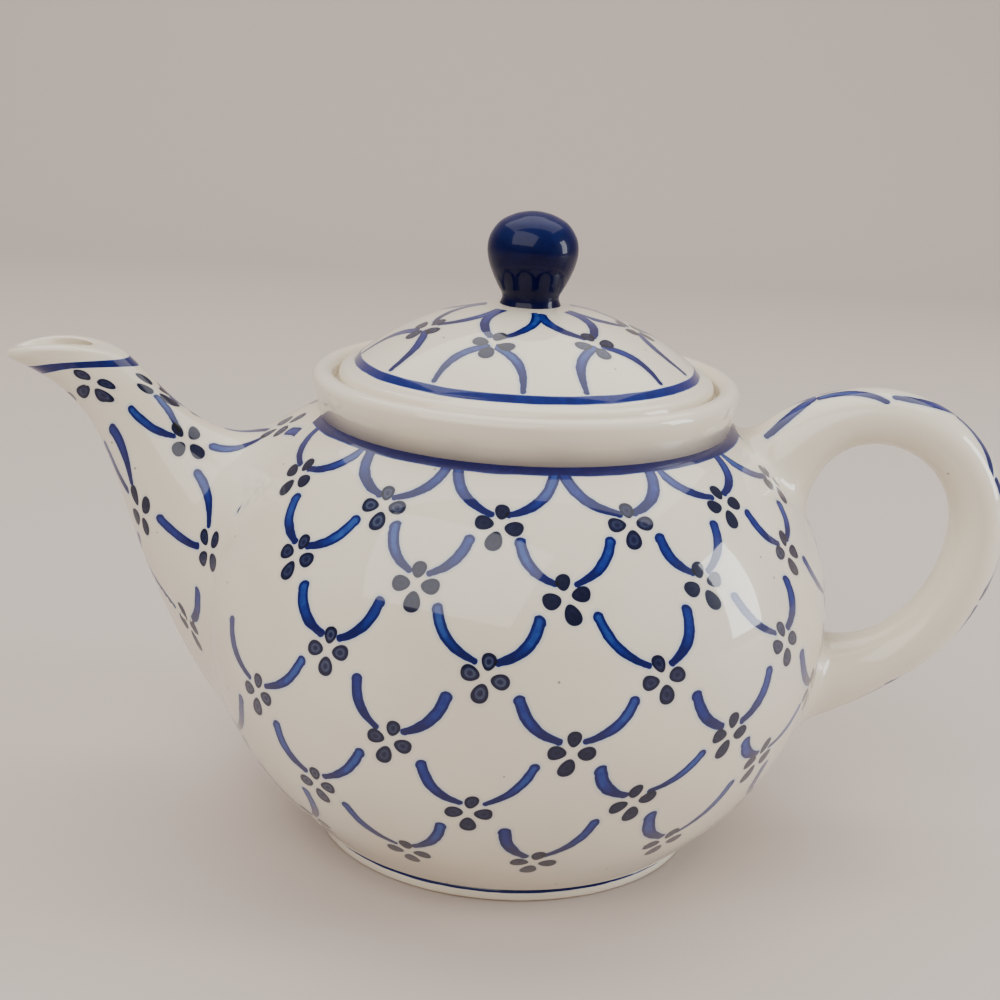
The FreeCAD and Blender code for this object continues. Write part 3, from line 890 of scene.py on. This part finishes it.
def spout_point(along, angle, wall_share=0):
    """Points on the spout at shares along it and angles round it."""
    axis, upward, half, side = spout_wall_at(along, wall_share)
    flat = axis + upward * (half * np.cos(angle))[..., None]
    return np.stack((flat[..., 0], -side * np.sin(angle), flat[..., 1]), axis=-1)


def lip_share(angle, wall_share):
    """How far along the spout the lip's cut lies, at each angle round it."""
    low = np.full(angle.shape, lip_search[0])
    high = np.full(angle.shape, lip_search[1])
    for halving in range(lip_halvings):
        middle = (low + high) / 2
        point = spout_point(middle, angle, wall_share)
        outside = np.linalg.norm(point[:, [0, 2]] - lip_centre, axis=1) > lip_radius
        high = np.where(outside, middle, high)
        low = np.where(outside, low, middle)
    return low


def belly_bow(points):
    """For each point: its radius, where the belly's arc has its centre, its rise and that arc's radius."""
    radius = np.hypot(points[..., 0], points[..., 1])
    centre = np.where(points[..., 2] > belly_height, upper_centre, lower_centre)
    return radius, centre, points[..., 2] - belly_height, belly_radius - centre


def unit(vectors):
    """Vectors of length 1 in the same directions."""
    return vectors / np.linalg.norm(vectors, axis=-1, keepdims=True)


# How far a fillet runs out over the belly, as a share of its softness, and how far its rim is drawn in
feather = 0.88
sunk = 0.995


def luted(lines, soft, shares):
    """Clay worked smooth round a root. Each line of points runs up a tube from deep in the belly.
    Near the belly the line is lifted softly off it, and its feathered edge is sunk into the belly."""
    radius, centre, rise, bow = belly_bow(lines)
    reach = np.hypot(radius - centre, rise)
    clear = reach - bow
    near = np.maximum(soft - np.abs(clear), 0)
    lift = (bow + np.maximum(clear, 0) + near ** 2 / (4 * soft)) / reach
    level = (centre + (radius - centre) * lift) / radius
    worked = np.stack((lines[..., 0] * level, lines[..., 1] * level, belly_height + rise * lift), axis=-1)
    row = np.arange(len(lines))
    column = np.arange(lines.shape[1])
    climb = np.maximum.accumulate(clear).T
    start = np.array([np.interp(0.0, heights + feather * soft, row) for heights in climb])
    at = start + (len(lines) - 1 - start) * shares[:, None]
    low = np.minimum(np.floor(at).astype(int), len(lines) - 2)
    part = (at - low)[..., None]
    rings = worked[low, column] * (1 - part) + worked[low + 1, column] * part
    rings[0, :, :2] *= sunk
    return rings, at


def ringed_mesh(name, rings, closed_round):
    """A skin over rings of points, closed from the last ring to the first or by a face at each end."""
    rows, columns = rings.shape[:2]
    index = np.arange(rows * columns).reshape(rows, columns)
    lower = index if closed_round else index[:-1]
    upper = np.roll(index, -1, axis=0) if closed_round else index[1:]
    faces = np.stack((lower, np.roll(lower, -1, axis=1), np.roll(upper, -1, axis=1), upper), axis=-1)
    faces = faces.reshape(-1, 4).tolist()
    if not closed_round:
        faces += [index[0, ::-1].tolist(), index[-1].tolist()]
    mesh = bpy.data.meshes.new(name)
    mesh.from_pydata(rings.reshape(-1, 3).tolist(), [], faces)
    mesh.shade_smooth()
    mesh.set_sharp_from_angle(angle=crisp_edge)
    facing_out(mesh)
    piece = bpy.data.objects.new(name, mesh)
    bpy.context.scene.collection.objects.link(piece)
    return piece


angles = np.linspace(-math.pi, math.pi, spout_round, endpoint=False)
outer_end = lip_share(angles, 0)
bore_end = lip_share(angles, 1)
outer_lip = spout_point(outer_end, angles)
bore_lip = spout_point(bore_end, angles, 1)


def short_of(ends, ahead, wall_share):
    """The share along the spout that lies a lip's rounding short of its cut."""
    step = 0.02
    last = spout_point(ends, angles, wall_share)
    pace = np.linalg.norm(last - spout_point(ends - step, angles, wall_share), axis=1)
    return ends - step * ahead / pace


roll = (1 - np.cos(angles)) / 2
outer_stop = short_of(outer_end, lip_outer_edge + beak_edge * roll ** beak_narrowing, 0)
bore_stop = short_of(bore_end, lip_bore_edge, 1)
tube_lines = spout_heel + (outer_stop - spout_heel) * np.linspace(0, 1, tube_steps)[:, None]
tube, tube_rows = luted(spout_point(tube_lines, np.repeat(angles[None], tube_steps, 0)), spout_fillet,
                        np.linspace(0, 1, spout_rows) ** row_crowding)
tube_shares = spout_heel + (outer_stop - spout_heel) * tube_rows / (tube_steps - 1)
round_share = np.linspace(0, 1, lip_steps)[1:, None, None]
outer_turn = spout_point(outer_stop, angles)
bore_turn = spout_point(bore_stop, angles, 1)
lip = ((1 - round_share) ** 3 * outer_turn + 3 * round_share * (1 - round_share) ** 2 * outer_lip
       + 3 * round_share ** 2 * (1 - round_share) * bore_lip + round_share ** 3 * bore_turn)
bore_lines = bore_stop + (bore_root - bore_stop) * np.linspace(0, 1, bore_rows)[1:, None]
bore = spout_point(bore_lines, np.repeat(angles[None], bore_rows - 1, 0), 1)
spout_rings = np.concatenate((tube, lip, bore))
spout = ringed_mesh("spout_glazed", spout_rings, True)
spout_columns = 4
# Millimetres to a share of the spout past the tube's ends, and the bare strip along its seam (mm)
root_pace = 100.0
bare_seam = 1.5
# Degrees round the spout from its upper side, each with its half column
column_turns = ((-180, -3), (20, 1), (47, 2), (90, 3), (129, 4), (180, 5))
# Each row of crossings: its share along the upper side, and what it gains by the roll to the underside,
# by each degree round and by each degree past the side
spout_row_lines = (
    (0.815, 0.216, 0.0, 0.0),
    (0.665, 0.234, 0.0, 0.0),
    (0.53, 0.0, 0.0018, 0.0),
    (0.41, 0.0, -0.00104, 0.0),
    (0.075, 0.0, 0.0, 0.002),
    (-0.06, 0.0, 0.0, 0.0035),
    (-0.26, 0.0, 0.0, 0.0035))
third_row_limit = 0.7
side_degrees = 98


def spout_brushwork(piece):
    """Winds the trellis round the spout, with its rows closer together on the outer bend."""
    shares = tube_shares
    degrees = np.degrees(angles)
    bend = np.abs(degrees)
    past_side = np.maximum(bend - side_degrees, 0)
    rows = np.array([start + by_roll * roll + by_degree * bend + by_side * past_side
                     for start, by_roll, by_degree, by_side in spout_row_lines])
    rows[2] = np.minimum(rows[2], third_row_limit)
    counts = np.arange(len(rows)) - 1.0
    down = np.full((len(spout_rings), spout_round), unpainted)
    tall = np.full((len(spout_rings), spout_round), 1.0)
    run = np.linalg.norm(np.diff(spout_rings[:len(shares)], axis=0), axis=-1) / MM
    come = np.concatenate((np.zeros((1, spout_round)), np.cumsum(run, axis=0)))
    for column in range(spout_round):
        line = rows[:, column]
        share = shares[:, column]
        down[:len(shares), column] = np.interp(-share, -line, counts)
        down[:len(shares), column][come[:, column] < bare_seam] = unpainted
        cell = np.clip(np.floor(down[:len(shares), column]).astype(int) + 1, 0, len(line) - 2)
        on_tube = np.clip(line, share[0], share[-1])
        reached = np.interp(on_tube, share, come[:, column]) + (line - on_tube) * root_pace
        tall[:len(shares), column] = reached[cell] - reached[cell + 1]
    turns, columns = np.array(column_turns, float).T
    across = np.interp(degrees, turns, columns)[None].repeat(len(spout_rings), 0)
    spans = np.diff(turns) / np.diff(columns)
    span = spans[np.minimum(np.searchsorted(turns, degrees, side="right"), len(spans)) - 1]
    steps = np.linalg.norm(np.roll(spout_rings, -1, axis=1) - spout_rings, axis=-1)
    wide = steps / MM * spout_round / 360 * span
    brushwork(piece, (across.ravel(), down.ravel()), (wide.ravel(), tall.ravel()), 2 * spout_columns)


spout_brushwork(spout)
spout_glaze = Glaze("painted_spout_glaze")
strokes, blossoms = spout_glaze.trellis(
    Half_columns=2.0 * spout_columns, Sag=0.06, Top_sag=0.06, Last_blossoms=4.0, First_strokes=1.0,
    Last_strokes=3.0, Longest=12.0)
tip_band_top = (-0.1, -0.07)
tip_band_foot = (0.2, 0.16)
tip_band_load = 0.95
down = parts(spout_glaze.tree, spout_glaze.map("brushwork"))[1]
down = down + spout_glaze.unsteady(size=9 * MM, depth=0.06)
tip_band = tip_band_load * down.soft(*tip_band_top) * down.soft(*tip_band_foot)
spout_glaze.paint(strokes.reckon("MAXIMUM", tip_band), blossoms)
spout.data.materials.append(spout_glaze.material)
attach(spout, "pot")
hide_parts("spout")


# Handle
# A strap pulled by hand from a lump of stoneware clay and bent to an ear.
# Both ends are pressed on to the belly, where they flare into the wall.
ear_x = 84.8 * MM
ear_z = 82.3 * MM
ear_upper = 26.6 * MM
ear_lower = 39.6 * MM
strap_half = 6.7 * MM
strap_spread = 1.7 * MM
upper_root_half = 13.5 * MM
upper_root_reach = 15.0 * MM
lower_root_half = 18.3 * MM
handle_round = 64
handle_fillet = 7.0 * MM
root_depth = 22.0 * MM
lower_x = ear_x + ear_upper - ear_lower
ear_start = -106
ear_end = 140
lower_root_steps = 20
lower_ear_steps = 60
upper_ear_steps = 80
upper_root_steps = 30
lower_flare_turn = math.radians(56)
upper_flare_turn = math.radians(50)
lower_flare_curve = 2.1
upper_flare_curve = 2.0
strap_rows = 90
strap_crowding = 1.2


def ear_arc(middle, radius, degrees):
    """Points on an arc of the ear at degrees up from its outermost side."""
    turns = np.radians(degrees)
    return np.stack((middle + radius * np.cos(turns), ear_z + radius * np.sin(turns)), axis=-1)


def ear_line():
    """The middle line of the strap, from inside its lower root, up and over the top to its upper root."""
    lower = ear_arc(lower_x, ear_lower, np.linspace(ear_start, 0, lower_ear_steps))
    upper = ear_arc(ear_x, ear_upper, np.linspace(0, ear_end, upper_ear_steps)[1:])
    start = math.radians(ear_start)
    inward = np.array((math.sin(start), -math.cos(start))) * root_depth
    lower_root = lower[0] + inward * np.linspace(1, 0, lower_root_steps)[:-1, None]
    onward = unit(upper[-1] - upper[-2]) * (upper_root_reach + root_depth)
    upper_root = upper[-1] + onward * np.linspace(0, 1, upper_root_steps)[1:, None]
    return np.concatenate((lower_root, lower, upper, upper_root))


ear = ear_line()
gone = np.concatenate(([0], np.cumsum(np.linalg.norm(np.diff(ear, axis=0), axis=1))))
total = gone[-1]
lower_reach = lower_flare_turn * ear_lower
upper_reach = upper_flare_turn * ear_upper + upper_root_reach
lower_flare = np.clip(1 - (gone - root_depth) / lower_reach, 0, 1) ** lower_flare_curve
upper_flare = np.clip(1 - (total - gone - root_depth) / upper_reach, 0, 1) ** upper_flare_curve
lower_gain = (lower_root_half - strap_half) * lower_flare
upper_gain = (upper_root_half - strap_half) * upper_flare
strap = strap_half + lower_gain + upper_gain
ear_heading = unit(np.gradient(ear, axis=0))
ear_outward = np.stack((ear_heading[:, 1], -ear_heading[:, 0]), axis=-1)
ear_angles = np.linspace(-math.pi, math.pi, handle_round, endpoint=False)
flat = ear[:, None] + ear_outward[:, None] * (strap[:, None] * np.cos(ear_angles))[..., None]
width = (strap + strap_spread)[:, None] * np.sin(ear_angles)
handle_lines = np.stack((flat[..., 0], -width, flat[..., 1]), axis=-1)
half_way = len(ear) // 2
strap_shares = np.linspace(0, 1, strap_rows) ** strap_crowding
lower_strap = luted(handle_lines[:half_way], handle_fillet, strap_shares)[0]
upper_strap = luted(handle_lines[:half_way - 2:-1], handle_fillet, strap_shares)[0]
handle_rings = np.concatenate((lower_strap, upper_strap[-2::-1]))
handle = ringed_mesh("handle_glazed", handle_rings, False)
ridge_span = math.radians(50)
ridge_row = 13.9
first_ridge = math.radians(118)
first_ridge_row = 2
ridge_edge = 1.3
no_seam = 1000
never_reached = 50.0


def handle_brushwork(piece):
    """Strokes in pairs down the outer ridge of the strap: each pair meets thin on the ridge."""
    middles = handle_rings.mean(axis=1)
    upper = ear_upper * np.arctan2(middles[:, 2] - ear_z, middles[:, 0] - ear_x)
    lower = ear_lower * np.arctan2(middles[:, 2] - ear_z, middles[:, 0] - lower_x)
    along = np.where(middles[:, 2] > ear_z, upper, lower) / MM
    down = first_ridge_row + (first_ridge * ear_upper / MM - along) / ridge_row
    across = (ear_angles / ridge_span)[None].repeat(len(down), 0)
    down = np.where(np.abs(across) < ridge_edge, down[:, None], unpainted)
    wide = np.full(down.shape, (strap_half + strap_spread / 2) / MM * ridge_span)
    tall = np.full(down.size, ridge_row)
    brushwork(piece, (across.ravel(), down.ravel()), (wide.ravel(), tall), no_seam)


handle_brushwork(handle)
handle_glaze = Glaze("painted_handle_glaze")
strokes, blossoms = handle_glaze.trellis(
    First_blossoms=never_reached, Last_blossoms=never_reached, First_strokes=1.0, Last_strokes=9.0, Sag=0.08,
    Turnabout=1.0, Longest=20.0, Free_start=(0.25, 0.1, 0.0), Free_end=(0.97, 0.97, 0.0))
across = parts(handle_glaze.tree, handle_glaze.map("brushwork"))[0]
handle_glaze.paint(strokes * across.between(-1.0, 1.0), blossoms)
handle.data.materials.append(handle_glaze.material)
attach(handle, "pot")
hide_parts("handle")


# Lid
# A dome of stoneware, thrown upside down, with a plain rim that sits on the collar's ledge.
# A small vent for steam is pierced through it, and it is glazed and painted as the belly is.
lid_radius = 44.8 * MM
lid_edge = 114.0 * MM
lid_crest = (43.9 * MM, 115.7 * MM)
dome_base = (41.2 * MM, 116.5 * MM)
dome_foot = (41.0 * MM, 117.2 * MM)
dome_top = 132.0 * MM
lid_wall = 4.5 * MM
dome_centre = (dome_foot[1] ** 2 + dome_foot[0] ** 2 - dome_top ** 2) / (2 * (dome_foot[1] - dome_top))
dome_radius = dome_top - dome_centre


def dome(radius, from_across, to_across, steps):
    """Points on the dome between two distances from the axis."""
    places = np.linspace(from_across, to_across, steps)
    return [(r, dome_centre + math.sqrt(radius ** 2 - r ** 2), 0) for r in places]


flange_bore = 32.7 * MM
lid_foot_edge = 0.6 * MM
lid_rim_edge = 1.0 * MM
lid_crest_edge = 0.9 * MM
dome_base_edge = 0.7 * MM
dome_base_run = 1.2 * MM
dome_middle = 2 * MM
dome_steps = 60
dome_inside_steps = 30
lid_outline = eased(
    [(0, dome_centre + dome_radius - lid_wall, 0)]
    + dome(dome_radius - lid_wall, dome_middle, flange_bore, dome_inside_steps)
    + [(flange_bore, ledge_height, lid_foot_edge), (lid_radius, ledge_height, lid_foot_edge),
       (lid_radius, lid_edge, lid_rim_edge), (*lid_crest, lid_crest_edge), (*dome_base, dome_base_edge)]
    + dome(dome_radius, dome_base[0] - dome_base_run, 0, dome_steps))
lid_glaze = Glaze("painted_lid_glaze")
lid = thrown("lid_glazed", lid_outline, lid_glaze.material)
lid_columns = 7
lid_blossom = math.radians(-15.6)
lid_rows = (10.0, 25.8, 40.3)
lid_row_counts = (-0.6, 0, 1, 2, 2.3)
lid_row_run = 17.4
least_reach = 2


def lid_brushwork(piece):
    """A ring of blossoms half way down the dome, with strokes up to the knob and down to the band."""
    spots = points_of(piece)
    facing = np.arctan2(spots[:, 0], -spots[:, 1])
    half_column = math.pi / lid_columns
    across = (facing - lid_blossom) / half_column + 1
    radius = np.hypot(spots[:, 0], spots[:, 1])
    above = spots[:, 2] > dome_centre + np.sqrt(np.maximum((dome_radius - MM) ** 2 - radius ** 2, 0))
    down = np.interp(radius / MM, (0, *lid_rows, lid_radius / MM), lid_row_counts)
    down = np.where(above, down, unpainted)
    wide = np.maximum(radius / MM, least_reach) * half_column
    brushwork(piece, (across, down), (wide, np.full(wide.shape, lid_row_run)), 2 * lid_columns)


lid_brushwork(lid)
vent_bore = 3.0 * MM
vent_offset = 20.0 * MM
vent_depth = 40.0 * MM
pierced(lid, [((0, vent_offset, dome_top), (0, 0, 1), vent_bore / 2, vent_depth)])
strokes, blossoms = lid_glaze.trellis(
    Half_columns=2.0 * lid_columns, Last_blossoms=1.0, Last_strokes=1.0, Sag=-0.17, Top_sag=0.1,
    Longest=20.0, Blossom_start=(0.14, 0.1, 0.0), Free_end=(0.6, 0.86, 0.0))
dome_band_inner = (39.5, 39.8)
dome_band_outer = (41.2, 40.9)
dome_band_above = (115.0, 116.0)
dome_band_load = 0.85
radius = (lid_glaze.x * lid_glaze.x + lid_glaze.y * lid_glaze.y).reckon("SQRT")
radius = radius + lid_glaze.unsteady(size=14 * MM, depth=0.6)
dome_band = dome_band_load * radius.soft(*dome_band_inner) * radius.soft(*dome_band_outer)
dome_band = dome_band * lid_glaze.z.soft(*dome_band_above)
lid_glaze.paint(strokes.reckon("MAXIMUM", dome_band), blossoms)
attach(lid, "lid")
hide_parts("lid")


# Lid flange
# A thin ring of stoneware, joined with slip under the lid.
# It drops through the mouth and keeps the lid from sliding off.
flange_low, flange_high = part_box("lid_flange")
flange_radius = flange_high.x
flange_edge = 1.2 * MM
flange_outline = eased([
    (flange_radius, ledge_height, 0),
    (flange_radius, flange_low.z, flange_edge),
    (flange_bore, flange_low.z, flange_edge),
    (flange_bore, ledge_height, 0),
    (flange_radius, ledge_height, 0)])
lid_flange = thrown("lid_flange_glazed", flange_outline, Glaze("flange_glaze").material)
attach(lid_flange, "lid")
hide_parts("lid_flange")


# Knob
# A ball of stoneware clay, pinched in at the neck and stuck on the dome with slip.
# It is dipped in a deep blue glaze that breaks paler in cloudy patches where it is thin, and it is painted
# paler towards its top as a painted highlight.
knob_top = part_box("knob")[1].z
# The knob's line from its foot to its top: radius and drop from the top, in millimetres
knob_line = ((7.6, 23.2), (7.35, 22.0), (6.75, 20.4), (6.95, 19.2), (7.75, 17.8), (9.0, 15.3), (10.2, 12.2),
             (10.72, 9.0), (10.15, 5.8), (8.0, 2.7), (4.9, 0.95), (2.3, 0.22), (0.0, 0.0))


def flowing(corners, steps):
    """A smooth line through points, as a potter's finger leaves it."""
    line = np.array((corners[0], *corners, (-corners[-2][0], corners[-2][1])))
    points = []
    for before, start, end, after in zip(line, line[1:], line[2:], line[3:]):
        for share in np.linspace(0, 1, steps, endpoint=False):
            points.append(0.5 * (2 * start + (end - before) * share
                                 + (2 * before - 5 * start + 4 * end - after) * share ** 2
                                 + (3 * start - before - 3 * end + after) * share ** 3))
    return points + [np.array(corners[-1])]


knob_steps = 6
knob_outline = [(0, knob_top - knob_line[0][1] * MM)]
knob_outline += [(abs(r) * MM, knob_top - drop * MM) for r, drop in flowing(knob_line, knob_steps)]
knob_finish = {"Coat Weight": 0.35, "Specular IOR Level": 0.05}
knob_blues = ((0.25, (0.0003, 0.0004, 0.026)), (0.85, (0.004, 0.009, 0.075)))
knob_cloud = 2.4 * MM
# Heights over which the knob is painted paler towards its top, as a painted highlight
knob_painted_highlight = (141.0, 152.5)
knob_dip = (131.2, 131.6)
knob_glaze = Glaze("deep_blue_glaze")
for quality, value in knob_finish.items():
    knob_glaze.finish(quality, value)
knob_patches = clouds(knob_glaze.tree, knob_glaze.place, knob_cloud, detail=4.0)
# Paler in cloudy patches where the glaze is thin, and paler towards the top as a painted highlight
thin_glaze_and_highlight = (knob_patches + knob_glaze.z.soft(*knob_painted_highlight)) * 0.5
deep_blue = ramp(knob_glaze.tree, thin_glaze_and_highlight, knob_blues)
dipped = (knob_glaze.z + knob_glaze.unsteady(size=3.5 * MM, depth=1.2, detail=3.0)).soft(*knob_dip)
knob_glaze.finish("Base Color", blend(knob_glaze.tree, dipped, knob_glaze.surface["Cream"], deep_blue))
knob = thrown("knob_glazed", knob_outline, knob_glaze.material)
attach(knob, "lid")
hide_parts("knob")


# Studio
# A sheet of pale paper makes the floor and sweeps up behind the pot.
# Three soft lights stand round it, and the camera looks from the photograph's angle.
floor_front = -6.0
floor_back = 0.9
sweep_radius = 0.5
sweep_top = 1.6
sweep_steps = 24
floor_half_width = 5.0
paper_colour = (0.58, 0.50, 0.45, 1)
paper_roughness = 0.7
sweep_line = [(floor_front, 0.0), (floor_back, 0.0)]
for turn in np.linspace(0, math.pi / 2, sweep_steps)[1:]:
    sweep_line.append((floor_back + sweep_radius * math.sin(turn), sweep_radius * (1 - math.cos(turn))))
sweep_line.append((floor_back + sweep_radius, sweep_top))
floor_points = [(side * floor_half_width, y, z) for y, z in sweep_line for side in (-1, 1)]
floor_faces = [(2 * n, 2 * n + 1, 2 * n + 3, 2 * n + 2) for n in range(len(sweep_line) - 1)]
floor_mesh = bpy.data.meshes.new("studio_floor")
floor_mesh.from_pydata(floor_points, [], floor_faces)
floor_mesh.shade_smooth()
studio_floor = bpy.data.objects.new("studio_floor", floor_mesh)
bpy.context.scene.collection.objects.link(studio_floor)
pale_paper = bpy.data.materials.new("pale_paper")
pale_paper.use_nodes = True
paper_shader = pale_paper.node_tree.nodes["Principled BSDF"]
paper_shader.inputs["Base Color"].default_value = paper_colour
paper_shader.inputs["Roughness"].default_value = paper_roughness
floor_mesh.materials.append(pale_paper)


def softbox(name, place, aim, width, height, power, warmth):
    """A flat soft light at a place, turned towards an aim."""
    lamp = bpy.data.lights.new(name, "AREA")
    lamp.shape = "RECTANGLE"
    lamp.size = width
    lamp.size_y = height
    lamp.energy = power
    lamp.color = warmth
    box = bpy.data.objects.new(name, lamp)
    box.location = place
    box.rotation_euler = (Vector(aim) - Vector(place)).to_track_quat("-Z", "Y").to_euler()
    bpy.context.scene.collection.objects.link(box)


pot_middle = (0.0, 0.0, 0.07)
softbox("overhead_light", place=(0.0, 0.28, 1.0), aim=(0.0, 0.05, 0.1), width=1.6, height=0.9, power=11.0,
        warmth=(1.0, 0.98, 0.95))
softbox("window_light", place=(1.05, -0.05, 0.36), aim=pot_middle, width=0.3, height=0.6, power=8.0,
        warmth=(0.93, 0.97, 1.0))
softbox("front_light", place=(-1.0, -1.8, 2.0), aim=pot_middle, width=3.0, height=2.2, power=73.0,
        warmth=(1.0, 0.97, 0.93))
room_colour = (0.9, 0.92, 0.95, 1)
room_strength = 0.28
room = bpy.data.worlds.new("room")
room.use_nodes = True
room.node_tree.nodes["Background"].inputs["Color"].default_value = room_colour
room.node_tree.nodes["Background"].inputs["Strength"].default_value = room_strength
bpy.context.scene.world = room

camera_place = Vector((0.0, -0.3988, 0.1991))
camera_pitch = 0.2834
camera_yaw = -0.0121
camera_roll = -0.0495
camera_lens = 61.2
camera_sensor = 36.0
camera_nearest = 0.01
level_ahead = Vector((math.sin(camera_yaw), math.cos(camera_yaw), 0))
ahead = level_ahead * math.cos(camera_pitch) - Vector((0, 0, math.sin(camera_pitch)))
level_right = Vector((math.cos(camera_yaw), -math.sin(camera_yaw), 0))
level_down = ahead.cross(level_right)
right = level_right * math.cos(camera_roll) + level_down * math.sin(camera_roll)
down = level_down * math.cos(camera_roll) - level_right * math.sin(camera_roll)
lens = bpy.data.cameras.new("studio_camera")
lens.lens = camera_lens
lens.sensor_width = camera_sensor
lens.clip_start = camera_nearest
studio_camera = bpy.data.objects.new("studio_camera", lens)
studio_camera.matrix_world = Matrix((right, -down, -ahead)).transposed().to_4x4()
studio_camera.location = camera_place
bpy.context.scene.collection.objects.link(studio_camera)
bpy.context.scene.camera = studio_camera
